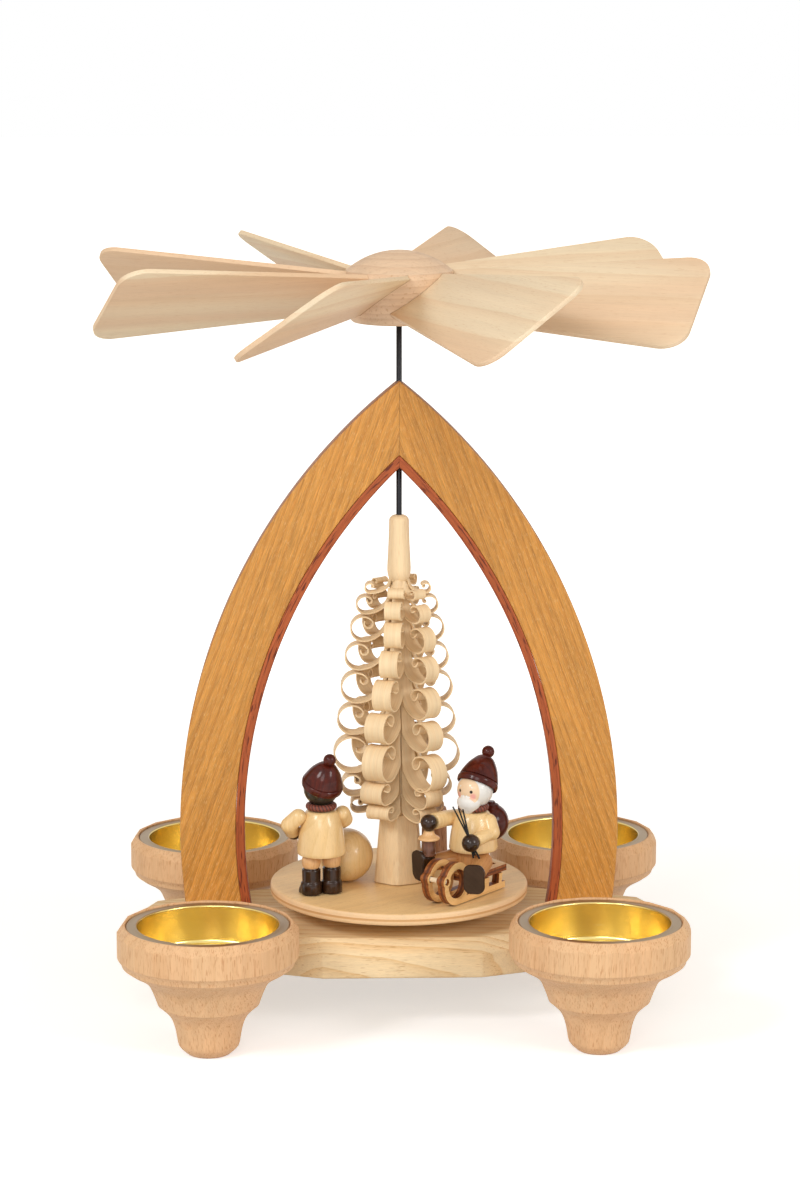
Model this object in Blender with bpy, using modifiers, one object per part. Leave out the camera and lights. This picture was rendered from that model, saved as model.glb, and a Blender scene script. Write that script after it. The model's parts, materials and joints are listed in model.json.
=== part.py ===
"""Candle carousel: a table pyramid whose rotor and turntable are turned by the warm air of four tealights.

Metres, +Z up. The origin lies on the table under the shaft, X runs along the arch and Y away from the viewer.
"""
import math

import bmesh
import bpy
from mathutils import Vector

# General
GAP = 0.0003
GLUE_LINE = 0.00015
OVERRUN = 0.002
MERGE = 0.00001
CUP_STEPS = 18
DISC_STEPS = 32
HUB_STEPS = 24
SMALL_STEPS = 10
POLE = 0.0

# Candle cups, which are also the feet
CUP_X = 0.0571
CUP_Y = 0.0511
CUP_RADIUS = 0.0265
CUP_HEIGHT = 0.0391
CUP_PROFILE_SHARES = ((0.940, 1.000), (1.000, 0.925), (1.000, 0.740), (0.974, 0.675), (0.850, 0.592),
                      (0.690, 0.522), (0.575, 0.395), (0.528, 0.332), (0.400, 0.225), (0.336, 0.080),
                      (0.238, 0.000))

# Pressed brass tealight inserts
INSERT_FLANGE_RADIUS = 0.02375
INSERT_WELL_RADIUS = 0.0200
INSERT_DEPTH = 0.0132
INSERT_WALL = 0.0004
INSERT_ROLL = 0.0004
INSERT_FLANGE_DROP = 0.0002

# Base plate
PLATE_BELOW_DOWEL = 0.0042
PLATE_THICKNESS = 0.0116
PLATE_HALF_DEPTH = 0.0350
PLATE_FRONT_HALF = 0.0237
PLATE_END_X = 0.0769
PLATE_END_Y = 0.0148
PLATE_TIP_X = 0.0828
PLATE_CHAMFER = 0.0040
PLATE_FOOT_CHAMFER_SHARE = 0.15
LEVEL_FACE_SHARE = 0.5

# Dowels between the plate and the cups
DOWEL_RADIUS = 0.0030
DOWEL_BELOW_INSERT = 0.0042
DOWEL_IN_PLATE = 0.0120
DOWEL_IN_CUP = 0.0080

# Arch and its liner, both struck from centres on the far side of the shaft
ARCH_CENTRE_ABOVE_PLATE = 0.0255
ARCH_OUTER_RADIUS = 0.1750
ARCH_WIDTH = 0.0168
ARCH_DEPTH = 0.0070
ARCH_STEPS = 14
LINER_THICKNESS = 0.0024

# Arch screws
SCREW_RADIUS = 0.0013
SCREW_HEAD_RADIUS = 0.0030
SCREW_HEAD_HEIGHT = 0.0018
SCREW_LENGTH = 0.0280
SCREW_RECESS = 0.0004

# Shaft and its bearings
SHAFT_RADIUS = 0.00085
SHAFT_TIP_LENGTH = 0.0016
SHAFT_TIP_RADIUS = 0.00015
BUSH_RADIUS = 0.0019
BUSH_HEIGHT = 0.0080
BUSH_BELOW_APEX = 0.0080
BEARING_RADIUS = 0.0035
BEARING_FLANGE_RADIUS = 0.0055
BEARING_FLANGE = 0.0010
BEARING_DEPTH = 0.0080
BEARING_BORE_DEPTH = 0.0062

# Turntable
DISC_RADIUS = 0.0391
DISC_THICKNESS = 0.0036
DISC_CLEARANCE = 0.0057
DISC_SIDE_CLEARANCE = 0.0077
DISC_EDGE = 0.0009

# Curled tree
TREE_HEIGHT = 0.1128
TREE_NECK_RADIUS = 0.00305
TREE_SHOULDER = 0.0030
TREE_SHOULDER_SHARES = ((0.55, 1.00), (0.90, 0.60), (1.00, 0.00))
TREE_FOOT_RADIUS = 0.0069
TREE_TRUNK_TOP_RADIUS = 0.0058
TREE_TRUNK_HEIGHT = 0.0190
CURL_COLUMNS = 6
CURL_FIRST_ANGLE = math.radians(10)
TREE_SPIRE = 0.0196
CURLS_ABOVE_TRUNK = 0.0031
CURL_REACH = 0.0192
CURL_STRIP = 0.0005
CURL_SPACE = 0.0005
CURL_SIDE_GAP = 0.0003
CONE_TOP_RADIUS = 0.0034
CONE_FOOT_RADIUS = 0.0065
CORE_SHARE = 0.70
CURL_ROOT_SHARE = 0.55
CURL_SIZE_SHARES = (0.33, 0.53, 0.72, 0.75, 0.86, 0.83, 1.00, 0.62, 0.44)
CURL_REACH_SHARES = (0.53, 0.65, 0.74, 0.82, 0.89, 0.94, 1.00, 0.88, 0.74)
CURL_LEAD_STEPS = 2
CURL_RING_STEPS = 6
CURL_TURN = math.radians(380)
CURL_END_SHARE = 0.42

# Stump behind the tree
STUMP_X = 0.0118
STUMP_Y = 0.0160
STUMP_FOOT_RADIUS = 0.0040
STUMP_TOP_RADIUS = 0.0030
STUMP_HEIGHT = 0.0185
STUMP_STEPS = 10

# Snowball
BALL_RADIUS = 0.00815
BALL_X = -0.0160
BALL_Y = -0.0005
BALL_FLAT = 0.0004

# Both figures
FIGURE_STEPS = 12
BALL_STEPS = 8
COAT_RADIUS = 0.0073
COAT_PROFILE_SHARES = ((0.00, 1.00), (0.61, 1.00), (0.67, 0.96), (0.80, 0.80), (0.92, 0.52), (1.00, 0.12),
                       (0.97, 0.00), (0.00, 0.00))
SCARF_RADIUS = 0.0037
SCARF_WIRE = 0.0010
SCARF_STEPS = 6
HAT_RADIUS = 0.0062
HAT_BRIM_SHARE = 0.10
HAT_HOLLOW_STEPS = 3
HAT_PROFILE_SHARES = ((0.16, 1.00), (0.44, 0.88), (0.74, 0.58), (0.92, 0.26), (1.00, 0.14), (0.98, 0.00))
BOBBLE_RADIUS = 0.0018
BOBBLE_SUNK_SHARE = 0.40
ARM_RADIUS = 0.0024
WRIST_SHARE = 0.80

# Standing child, turned a little from the view
CHILD_X = -0.0237
CHILD_Y = -0.0150
CHILD_TURN = math.radians(16.6)
CHILD_STANCE = 0.0032
LEG_RADIUS = 0.0028
LEG_HEIGHT = 0.0118
BOOT_RADIUS = 0.0028
BOOT_SOLE_RADIUS = 0.0030
BOOT_HEIGHT = 0.0077
BOOT_PROFILE_SHARES = ((0.78, 1.06), (0.78, 1.00), (1.00, 0.99), (1.00, 0.38))
BOOT_WELT_SHARE = 0.33
BOOT_TOE = 0.0024
BOOT_TOE_SHARES = (0.88, 1.20, 0.80)
CHILD_COAT_HEIGHT = 0.0134
CHILD_HEAD_RADIUS = 0.0053
CHILD_HAT_HEIGHT = 0.0081
CHILD_HAT_BACK = math.radians(24)
CHILD_HAT_SIDE = math.radians(14)
CHILD_HAND_RADIUS = 0.0022
CHILD_LEFT_ARM = ((-0.0072, 0.0000, 0.0240), (-0.0099, 0.0015, 0.0213), (-0.0092, 0.0056, 0.0189))
CHILD_RIGHT_ARM = ((0.0066, 0.0000, 0.0239), (0.0079, 0.0018, 0.0217), (0.0082, 0.0058, 0.0202))

# Sled: forward is its own X axis
SLED_X = 0.0218
SLED_Y = -0.0163
SLED_HEADING = math.radians(-128)
SLED_HALF_WIDTH = 0.0042
RUNNER_THICKNESS = 0.0025
RAIL_HEIGHT = 0.0020
RUNNER_REAR = 0.0108
SCROLL_FORWARD = 0.0141
SCROLL_RADIUS = 0.00645
SCROLL_HOLE = 0.0044
SCROLL_STEPS = 11
POST_TOP = 0.0048
REAR_POST = (0.0090, 0.0074)
FRONT_POST = (0.0022, -0.0002)
POST_LEAN = 0.0004
SEAT_REAR = 0.0116
SEAT_THICKNESS = 0.0020
SEAT_SLOT_REAR = 0.0100
SEAT_SLOT_LENGTH = 0.0018
SEAT_SLOT_HALF = 0.0013
CROSSBAR_RADIUS = 0.0007
CROSSBAR_ANGLE = math.radians(17)
CROSSBAR_BOSS = 0.0018

# Seated bearded man, in the sled's own directions
HIP_RADIUS = 0.0030
ANKLE_RADIUS = 0.0021
HIP_REAR = 0.0025
HIP_SIDE = 0.0034
FOOT_FORWARD = 0.0145
FOOT_SIDE = 0.0103
FOOT_HEIGHT = 0.0085
SHOE_LENGTH = 0.0034
SHOE_HALF_WIDTH = 0.0029
SHOE_HALF_HEIGHT = 0.0042
SHOE_HEEL_SHARE = 0.85
MAN_COAT_HEIGHT = 0.0116
MAN_HEAD_RADIUS = 0.0052
MAN_HAT_HEIGHT = 0.0112
MAN_HAT_BACK = math.radians(33)
BEARD_HALF_WIDTH = 0.0036
BEARD_HALF_DEPTH = 0.0024
BEARD_HALF_HEIGHT = 0.0046
BEARD_DROP = 0.0016
BEARD_OUT_SHARE = 0.75
SACK_RADIUS = 0.0055
SACK_STRETCH_SHARE = 1.06
SACK_BACK = 0.0090
SACK_HEIGHT = 0.0212
MAN_HAND_RADIUS = 0.0025
MAN_NEAR_ARM = ((-0.0010, 0.0058, 0.0224), (-0.0010, 0.0082, 0.0186), (0.0062, 0.0060, 0.0180))
MAN_FAR_ARM = ((0.0005, -0.0058, 0.0226), (0.0048, -0.0068, 0.0229), (0.0104, -0.0073, 0.0230))
TWIG_HOLE = 0.0017
TWIG_TIE_RADIUS = 0.0012
TWIG_TIE_LENGTH = 0.0030
TWIG_RADIUS = 0.00032
TWIG_PITCH = 0.0007
TWIG_ABOVE = 0.0125
TWIG_BELOW = 0.0060
TWIG_SPREAD = 0.0014
TWIG_FAN_SHARES = (-0.6, 0.8)
TWIG_COUNT = 3
TWIG_LEAN_SIDE = math.radians(15)
TWIG_LEAN_FORWARD = math.radians(12)
LANTERN_ROOF_RADIUS = 0.0032
LANTERN_ROOF_HEIGHT = 0.0021
LANTERN_BODY_RADIUS = 0.0020
LANTERN_BODY_HEIGHT = 0.0052
LANTERN_ROOF_SHARES = ((0.30, 1.00), (0.62, 0.45), (1.00, 0.25), (0.96, 0.00))

# Rotor
HUB_RADIUS = 0.0160
HUB_FOOT_RADIUS = 0.0142
HUB_ABOVE_APEX = 0.0175
HUB_SIDE_HEIGHT = 0.0149
HUB_DOME_HEIGHT = 0.0062
HUB_DOME_STEPS = 4
SHAFT_IN_HUB = 0.0165
BLADE_COUNT = 8
BLADE_FIRST_ANGLE = math.radians(-22.3)
BLADE_TILT = math.radians(35.0)
BLADE_ABOVE_FOOT = 0.0089
BLADE_ROOT = 0.0080
BLADE_TIP = 0.0921
BLADE_ROOT_HALF = 0.0092
BLADE_TIP_HALF = 0.0204
BLADE_THICKNESS = 0.0015
BLADE_CORNER = 0.0085
CORNER_STEPS = 3

# Places worked out from the sizes above
INSERT_TOP = CUP_HEIGHT - INSERT_FLANGE_DROP
INSERT_BOTTOM = INSERT_TOP - INSERT_DEPTH - INSERT_WALL
DOWEL_HEIGHT = INSERT_BOTTOM - DOWEL_BELOW_INSERT
PLATE_BOTTOM = DOWEL_HEIGHT - PLATE_BELOW_DOWEL
PLATE_TOP = PLATE_BOTTOM + PLATE_THICKNESS
ARCH_HALF_SPAN = DISC_RADIUS + DISC_SIDE_CLEARANCE + LINER_THICKNESS + GAP + ARCH_WIDTH
ARCH_CENTRE_Z = PLATE_TOP + ARCH_CENTRE_ABOVE_PLATE
ARCH_CENTRE_X = ARCH_OUTER_RADIUS - ARCH_HALF_SPAN
ARCH_INNER_RADIUS = ARCH_OUTER_RADIUS - ARCH_WIDTH
ARCH_FOOT = PLATE_TOP + GAP
LINER_OUTER_RADIUS = ARCH_INNER_RADIUS - GAP
LINER_INNER_RADIUS = LINER_OUTER_RADIUS - LINER_THICKNESS
ARCH_APEX = ARCH_CENTRE_Z + math.sqrt(ARCH_OUTER_RADIUS ** 2 - ARCH_CENTRE_X ** 2)
DISC_BOTTOM = PLATE_TOP + DISC_CLEARANCE
DISC_TOP = DISC_BOTTOM + DISC_THICKNESS
GROUND = DISC_TOP + GAP
TREE_TOP = DISC_TOP + TREE_HEIGHT
BEARING_SEAT = PLATE_TOP + GAP
CURLS_TOP = TREE_HEIGHT - TREE_SPIRE
CURLS_BOTTOM = TREE_TRUNK_HEIGHT + CURLS_ABOVE_TRUNK
CURL_DIAMETER = (CURLS_TOP - CURLS_BOTTOM) / sum(CURL_SIZE_SHARES)
SHAFT_TIP = BEARING_SEAT + BEARING_FLANGE - BEARING_BORE_DEPTH + GAP
HUB_BOTTOM = ARCH_APEX + HUB_ABOVE_APEX
HUB_RIM = HUB_BOTTOM + HUB_SIDE_HEIGHT
HUB_TOP = HUB_RIM + HUB_DOME_HEIGHT
BLADE_HEIGHT = HUB_BOTTOM + BLADE_ABOVE_FOOT
SHAFT_TOP = HUB_BOTTOM + SHAFT_IN_HUB

# Colours
BEECH = (0.76, 0.49, 0.25, 1.0)
ASH = (0.80, 0.58, 0.31, 1.0)
HONEY = (0.67, 0.32, 0.07, 1.0)
RED_BROWN = (0.33, 0.07, 0.03, 1.0)
BRASS = (0.83, 0.55, 0.10, 1.0)
STEEL = (0.05, 0.055, 0.06, 1.0)
MAPLE = (0.82, 0.60, 0.38, 1.0)
SHAVING = (0.86, 0.65, 0.38, 1.0)
VARNISHED = (0.82, 0.60, 0.30, 1.0)
DARK_RED = (0.09, 0.015, 0.01, 1.0)
BOOT_BROWN = (0.03, 0.013, 0.006, 1.0)
WHITE = (0.85, 0.85, 0.85, 1.0)
BURNT = (0.50, 0.26, 0.10, 1.0)
TROUSER = (0.45, 0.20, 0.08, 1.0)
BLACK = (0.01, 0.01, 0.01, 1.0)


def clear_scene():
    for item in list(bpy.data.objects):
        bpy.data.objects.remove(item, do_unlink=True)


def make_collection(name):
    collection = bpy.data.collections.new(name)
    bpy.context.scene.collection.children.link(collection)
    return collection


clear_scene()
PARTS = make_collection("candle_carousel")
CUTTERS = make_collection("cutters")


def make_material(name, colour, roughness, metallic=0.0):
    material = bpy.data.materials.new(name)
    material.use_nodes = True
    shader = material.node_tree.nodes["Principled BSDF"]
    shader.inputs["Base Color"].default_value = colour
    shader.inputs["Roughness"].default_value = roughness
    shader.inputs["Metallic"].default_value = metallic
    material.diffuse_color = colour
    return material


def make_empty(name, location, turn=0.0, parent=None):
    empty = bpy.data.objects.new(name, None)
    empty.location = location
    empty.rotation_euler = (0.0, 0.0, turn)
    empty.parent = parent
    PARTS.objects.link(empty)
    return empty


def make_object(name, mesh, finish, parent=None, location=(0.0, 0.0, 0.0), rotation=(0.0, 0.0, 0.0)):
    item = bpy.data.objects.new(name, mesh)
    item.location = location
    item.rotation_euler = rotation
    item.parent = parent
    PARTS.objects.link(item)
    if finish is not None:
        item.data.materials.append(make_material(name, *finish))
    return item


def hide_as_cutter(item):
    """Cutters are kept beside the parts and never shown in a render."""
    PARTS.objects.unlink(item)
    CUTTERS.objects.link(item)
    item.hide_render = True
    item.display_type = 'WIRE'
    return item


def combine(target, tool, operation):
    modifier = target.modifiers.new(operation.lower() + "_" + tool.name, 'BOOLEAN')
    modifier.operation = operation
    modifier.solver = 'EXACT'
    modifier.object = tool


def profile_mesh(name, points, closed):
    mesh = bpy.data.meshes.new(name)
    edges = [(i, i + 1) for i in range(len(points) - 1)]
    if closed:
        edges.append((len(points) - 1, 0))
    mesh.from_pydata([(radius, 0.0, height) for radius, height in points], edges, [])
    return mesh


def turned(name, points, finish, closed=False, steps=CUP_STEPS, **place):
    """A piece turned on the lathe: its profile runs down the outer side, and a bored one closes on itself."""
    item = make_object(name, profile_mesh(name, points, closed), finish, **place)
    screw = item.modifiers.new("turn", 'SCREW')
    screw.axis = 'Z'
    screw.steps = steps
    screw.render_steps = steps
    screw.use_merge_vertices = True
    screw.merge_threshold = MERGE
    screw.use_smooth_shade = True
    return item


def rod(name, radius, bottom, top, finish, steps=SMALL_STEPS, **place):
    points = [(POLE, top), (radius, top), (radius, bottom), (POLE, bottom)]
    return turned(name, points, finish, steps=steps, **place)


def outline_curve(name, outlines, half_thickness):
    """A flat outline, with any further outlines as holes, thickened both ways."""
    curve = bpy.data.curves.new(name, 'CURVE')
    curve.dimensions = '2D'
    curve.fill_mode = 'BOTH'
    curve.extrude = half_thickness
    for outline in outlines:
        spline = curve.splines.new('POLY')
        spline.points.add(len(outline) - 1)
        for point, (across, along) in zip(spline.points, outline):
            point.co = (across, along, 0.0, 1.0)
        spline.use_cyclic_u = True
    return curve


def mesh_from_curve(name, curve):
    """The curve as a welded mesh, so that it can be cut and joined."""
    source = bpy.data.objects.new(name + "_curve", curve)
    PARTS.objects.link(source)
    depsgraph = bpy.context.evaluated_depsgraph_get()
    mesh = bpy.data.meshes.new_from_object(source.evaluated_get(depsgraph))
    bpy.data.objects.remove(source, do_unlink=True)
    edit = bmesh.new()
    edit.from_mesh(mesh)
    bmesh.ops.remove_doubles(edit, verts=edit.verts, dist=MERGE)
    bmesh.ops.recalc_face_normals(edit, faces=edit.faces)
    edit.to_mesh(mesh)
    edit.free()
    mesh.name = name
    return mesh


def board(name, outlines, thickness, finish, **place):
    mesh = mesh_from_curve(name, outline_curve(name, outlines, thickness / 2))
    return make_object(name, mesh, finish, **place)


def tube(name, points, radius, finish, **place):
    curve = bpy.data.curves.new(name, 'CURVE')
    curve.dimensions = '3D'
    curve.bevel_depth = radius
    curve.bevel_resolution = 2
    curve.use_fill_caps = True
    spline = curve.splines.new('POLY')
    spline.points.add(len(points) - 1)
    for point, place_on_route in zip(spline.points, points):
        point.co = (*place_on_route, 1.0)
    item = make_object(name, mesh_from_curve(name, curve), finish, **place)
    item.data.shade_smooth()
    return item


def ball(name, radius, finish, segments=SMALL_STEPS, stretch=(1.0, 1.0, 1.0), **place):
    mesh = bpy.data.meshes.new(name)
    edit = bmesh.new()
    bmesh.ops.create_uvsphere(edit, u_segments=segments, v_segments=segments // 2, radius=radius)
    bmesh.ops.scale(edit, vec=stretch, verts=edit.verts)
    edit.to_mesh(mesh)
    edit.free()
    mesh.shade_smooth()
    return make_object(name, mesh, finish, **place)


def block(name, size, finish, **place):
    mesh = bpy.data.meshes.new(name)
    edit = bmesh.new()
    bmesh.ops.create_cube(edit, size=1.0)
    bmesh.ops.scale(edit, vec=size, verts=edit.verts)
    edit.to_mesh(mesh)
    edit.free()
    return make_object(name, mesh, finish, **place)


def arc(centre, radius, start, end, steps):
    """Points on a circle about centre, from the start angle to the end angle."""
    points = []
    for i in range(steps + 1):
        angle = start + (end - start) * i / steps
        points.append((centre[0] + radius * math.cos(angle), centre[1] + radius * math.sin(angle)))
    return points


def scaled(shares, radius, height, base=0.0):
    return [(radius * across, base + height * up) for across, up in shares]


# Stand

def cup_places():
    for side_x, across in (("left", -1), ("right", 1)):
        for side_y, deep in (("front", -1), ("back", 1)):
            yield side_y + "_" + side_x, across, deep


def facet_direction(across, deep):
    """Unit vector square to the slanted edge of the plate that faces one cup."""
    run = Vector((PLATE_END_X - PLATE_FRONT_HALF, PLATE_END_Y - PLATE_HALF_DEPTH))
    square = Vector((-run.y, run.x)).normalized()
    return Vector((square.x * across, square.y * deep))


def facet_distance():
    """How far the slanted edge of the plate lies from the cup's axis, along the dowel."""
    square = facet_direction(1, 1)
    return (Vector((CUP_X, CUP_Y)) - Vector((PLATE_FRONT_HALF, PLATE_HALF_DEPTH))).dot(square)


def cup_radius_at(height):
    """Radius of the cup's outside at a height, read from its profile."""
    points = scaled(CUP_PROFILE_SHARES, CUP_RADIUS, CUP_HEIGHT)
    for (upper_r, upper_z), (lower_r, lower_z) in zip(points, points[1:]):
        if lower_z <= height <= upper_z and upper_z > lower_z:
            return lower_r + (upper_r - lower_r) * (height - lower_z) / (upper_z - lower_z)
    return CUP_RADIUS


def dowel_rod(name, radius, clearance, across, deep, finish):
    """A dowel on the line from the cup's axis square to the plate's slanted edge."""
    square = facet_direction(across, deep)
    inner = cup_radius_at(DOWEL_HEIGHT) - DOWEL_IN_CUP - clearance
    outer = facet_distance() + DOWEL_IN_PLATE + clearance
    points = [(POLE, outer), (radius, outer), (radius, inner), (POLE, inner)]
    place = (CUP_X * across, CUP_Y * deep, DOWEL_HEIGHT)
    item = turned(name, points, finish, steps=SMALL_STEPS, location=place)
    heading = math.atan2(-square.y, -square.x)
    item.rotation_euler = (0.0, math.pi / 2, heading)
    return item


def make_cup(side, across, deep):
    flange_seat = INSERT_TOP - INSERT_WALL - GAP
    well = INSERT_WELL_RADIUS + INSERT_WALL + GAP
    floor = INSERT_BOTTOM - GAP
    inside = [(POLE, floor), (well, floor), (well, flange_seat), (INSERT_FLANGE_RADIUS + GAP, flange_seat),
              (INSERT_FLANGE_RADIUS + GAP, CUP_HEIGHT)]
    points = inside + scaled(CUP_PROFILE_SHARES, CUP_RADIUS, CUP_HEIGHT) + [(POLE, 0.0)]
    cup = turned("cup_" + side, points, (BEECH, 0.55), location=(CUP_X * across, CUP_Y * deep, 0.0))
    dowel_rod("cup_dowel_" + side, DOWEL_RADIUS, 0.0, across, deep, (BEECH, 0.6))
    hole = hide_as_cutter(dowel_rod("dowel_hole_" + side, DOWEL_RADIUS + GAP, GAP, across, deep, None))
    combine(cup, hole, 'DIFFERENCE')
    return hole


def make_insert(side, across, deep):
    """A pressed cup, drawn as the surface that shows and thickened outwards."""
    floor = INSERT_TOP - INSERT_DEPTH
    points = [(POLE, floor), (INSERT_WELL_RADIUS, floor), (INSERT_WELL_RADIUS, INSERT_TOP - INSERT_ROLL),
              (INSERT_WELL_RADIUS + INSERT_ROLL, INSERT_TOP), (INSERT_FLANGE_RADIUS, INSERT_TOP)]
    insert = turned("tealight_insert_" + side, points, (BRASS, 0.3, 1.0),
                    location=(CUP_X * across, CUP_Y * deep, 0.0))
    shell = insert.modifiers.new("sheet", 'SOLIDIFY')
    shell.thickness = INSERT_WALL
    shell.offset = -1.0
    shell.use_even_offset = True


def plate_outline():
    corner = [(PLATE_FRONT_HALF, PLATE_HALF_DEPTH), (PLATE_END_X, PLATE_END_Y)]
    right = [(x, -y) for x, y in corner] + [(PLATE_TIP_X, 0.0)] + corner[::-1]
    return right + [(-x, y) for x, y in right[::-1]]


def chamfer_by_height(item, upper_share, lower_share, width):
    """Bevel the edges of the upper face and of the lower face by their own shares of one width."""
    mesh = item.data
    weights = mesh.attributes.new("bevel_weight_edge", 'FLOAT', 'EDGE')
    top = max(vertex.co.z for vertex in mesh.vertices)
    bottom = min(vertex.co.z for vertex in mesh.vertices)
    rim = edges_of_rim(mesh)
    for edge in mesh.edges:
        if edge.index not in rim:
            continue
        heights = [mesh.vertices[i].co.z for i in edge.vertices]
        if min(heights) > top - MERGE:
            weights.data[edge.index].value = upper_share
        elif max(heights) < bottom + MERGE:
            weights.data[edge.index].value = lower_share
    bevel = item.modifiers.new("chamfer", 'BEVEL')
    bevel.width = width
    bevel.segments = 1
    bevel.limit_method = 'WEIGHT'


def edges_of_rim(mesh):
    """Edges where a level face meets an upright one."""
    edit = bmesh.new()
    edit.from_mesh(mesh)
    rim = set()
    for edge in edit.edges:
        levels = [abs(face.normal.z) > LEVEL_FACE_SHARE for face in edge.link_faces]
        if len(levels) == 2 and levels[0] != levels[1]:
            rim.add(edge.index)
    edit.free()
    return rim


def make_plate(dowel_holes):
    middle = PLATE_BOTTOM + PLATE_THICKNESS / 2
    plate = board("base_plate", [plate_outline()], PLATE_THICKNESS, (ASH, 0.5), location=(0.0, 0.0, middle))
    chamfer_by_height(plate, 1.0, PLATE_FOOT_CHAMFER_SHARE, PLATE_CHAMFER)
    for hole in dowel_holes:
        combine(plate, hole, 'DIFFERENCE')
    seat_floor = BEARING_SEAT - BEARING_DEPTH - GAP
    seat = rod("bearing_hole", BEARING_RADIUS + GAP, seat_floor, PLATE_TOP + OVERRUN, None)
    combine(plate, hide_as_cutter(seat), 'DIFFERENCE')
    return plate


def arch_half(name, side, outer_radius, inner_radius, finish):
    """One half of the arch between two arcs about one centre, upright, with its seam at the apex."""
    def crossing(radius, distance):
        return math.acos(distance / radius)

    seam = ARCH_CENTRE_X + GLUE_LINE
    lowest = ARCH_FOOT - ARCH_CENTRE_Z
    centre = (ARCH_CENTRE_X, ARCH_CENTRE_Z)
    outline = []
    for radius, forward in ((outer_radius, True), (inner_radius, False)):
        foot = math.asin(lowest / radius)
        top = crossing(radius, seam)
        stretch = arc(centre, radius, math.pi - foot, math.pi - top, ARCH_STEPS)
        outline += stretch if forward else stretch[::-1]
    if side > 0:
        outline = [(-x, z) for x, z in outline[::-1]]
    return board(name, [outline], ARCH_DEPTH, finish, rotation=(math.pi / 2, 0.0, 0.0))


def make_arch():
    clearance = SHAFT_RADIUS + GAP
    pocket_top = ARCH_APEX - BUSH_BELOW_APEX
    pocket_bottom = pocket_top - BUSH_HEIGHT
    lowest = ARCH_CENTRE_Z + math.sqrt(LINER_INNER_RADIUS ** 2 - ARCH_CENTRE_X ** 2) - OVERRUN
    points = [(POLE, ARCH_APEX + OVERRUN), (clearance, ARCH_APEX + OVERRUN), (clearance, pocket_top + GAP),
              (BUSH_RADIUS + GAP, pocket_top + GAP), (BUSH_RADIUS + GAP, pocket_bottom - GAP),
              (clearance, pocket_bottom - GAP), (clearance, lowest), (POLE, lowest)]
    bore = hide_as_cutter(turned("shaft_way", points, None, steps=SMALL_STEPS))
    halves = []
    for side_name, side in (("left", -1), ("right", 1)):
        half = arch_half("arch_" + side_name, side, ARCH_OUTER_RADIUS, ARCH_INNER_RADIUS, (HONEY, 0.4))
        liner = arch_half("liner_" + side_name, side, LINER_OUTER_RADIUS, LINER_INNER_RADIUS,
                          (RED_BROWN, 0.5))
        combine(half, bore, 'DIFFERENCE')
        combine(liner, bore, 'DIFFERENCE')
        halves.append(half)
    bush = [(BUSH_RADIUS, pocket_top), (BUSH_RADIUS, pocket_bottom), (clearance, pocket_bottom),
            (clearance, pocket_top)]
    turned("upper_bush", bush, (BRASS, 0.35, 1.0), closed=True, steps=SMALL_STEPS)
    return halves


def leg_centre():
    """Distance of the middle of a leg's foot from the shaft."""
    drop = ARCH_CENTRE_Z - ARCH_FOOT
    outer = math.sqrt(ARCH_OUTER_RADIUS ** 2 - drop ** 2) - ARCH_CENTRE_X
    inner = math.sqrt(ARCH_INNER_RADIUS ** 2 - drop ** 2) - ARCH_CENTRE_X
    return (outer + inner) / 2


def make_screws(plate, halves):
    """Countersunk screws that hold the arch feet from below."""
    for side_name, side, half in (("left", -1, halves[0]), ("right", 1, halves[1])):
        place = (side * leg_centre(), 0.0, 0.0)
        head_face = PLATE_BOTTOM + SCREW_RECESS
        neck = head_face + SCREW_HEAD_HEIGHT
        top = head_face + SCREW_LENGTH
        screw = [(POLE, top), (SCREW_RADIUS, top - SCREW_RADIUS), (SCREW_RADIUS, neck),
                 (SCREW_HEAD_RADIUS, head_face), (POLE, head_face)]
        turned("arch_screw_" + side_name, screw, (STEEL, 0.3, 1.0), steps=SMALL_STEPS, location=place)
        hole = [(POLE, top + GAP), (SCREW_RADIUS + GAP, top + GAP), (SCREW_RADIUS + GAP, neck + GAP),
                (SCREW_HEAD_RADIUS + GAP, head_face + GAP), (SCREW_HEAD_RADIUS + GAP, PLATE_BOTTOM - OVERRUN),
                (POLE, PLATE_BOTTOM - OVERRUN)]
        cutter = turned("screw_hole_" + side_name, hole, None, steps=SMALL_STEPS, location=place)
        hide_as_cutter(cutter)
        combine(plate, cutter, 'DIFFERENCE')
        combine(half, cutter, 'DIFFERENCE')


def make_bearing():
    flange_top = BEARING_SEAT + BEARING_FLANGE
    bottom = BEARING_SEAT - BEARING_DEPTH
    bore = SHAFT_RADIUS + GAP
    bore_floor = flange_top - BEARING_BORE_DEPTH
    points = [(POLE, bore_floor), (bore, bore_floor), (bore, flange_top),
              (BEARING_FLANGE_RADIUS, flange_top), (BEARING_FLANGE_RADIUS, BEARING_SEAT),
              (BEARING_RADIUS, BEARING_SEAT), (BEARING_RADIUS, bottom), (POLE, bottom)]
    turned("pivot_bearing", points, (BRASS, 0.35, 1.0), steps=SMALL_STEPS)


def make_stand():
    dowel_holes = []
    for side, across, deep in cup_places():
        dowel_holes.append(make_cup(side, across, deep))
        make_insert(side, across, deep)
    plate = make_plate(dowel_holes)
    halves = make_arch()
    make_screws(plate, halves)
    make_bearing()


# Carousel

def make_shaft(axis):
    points = [(POLE, SHAFT_TOP), (SHAFT_RADIUS, SHAFT_TOP), (SHAFT_RADIUS, SHAFT_TIP + SHAFT_TIP_LENGTH),
              (SHAFT_TIP_RADIUS, SHAFT_TIP), (POLE, SHAFT_TIP)]
    turned("shaft", points, (STEEL, 0.3, 1.0), steps=SMALL_STEPS, parent=axis)


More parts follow.
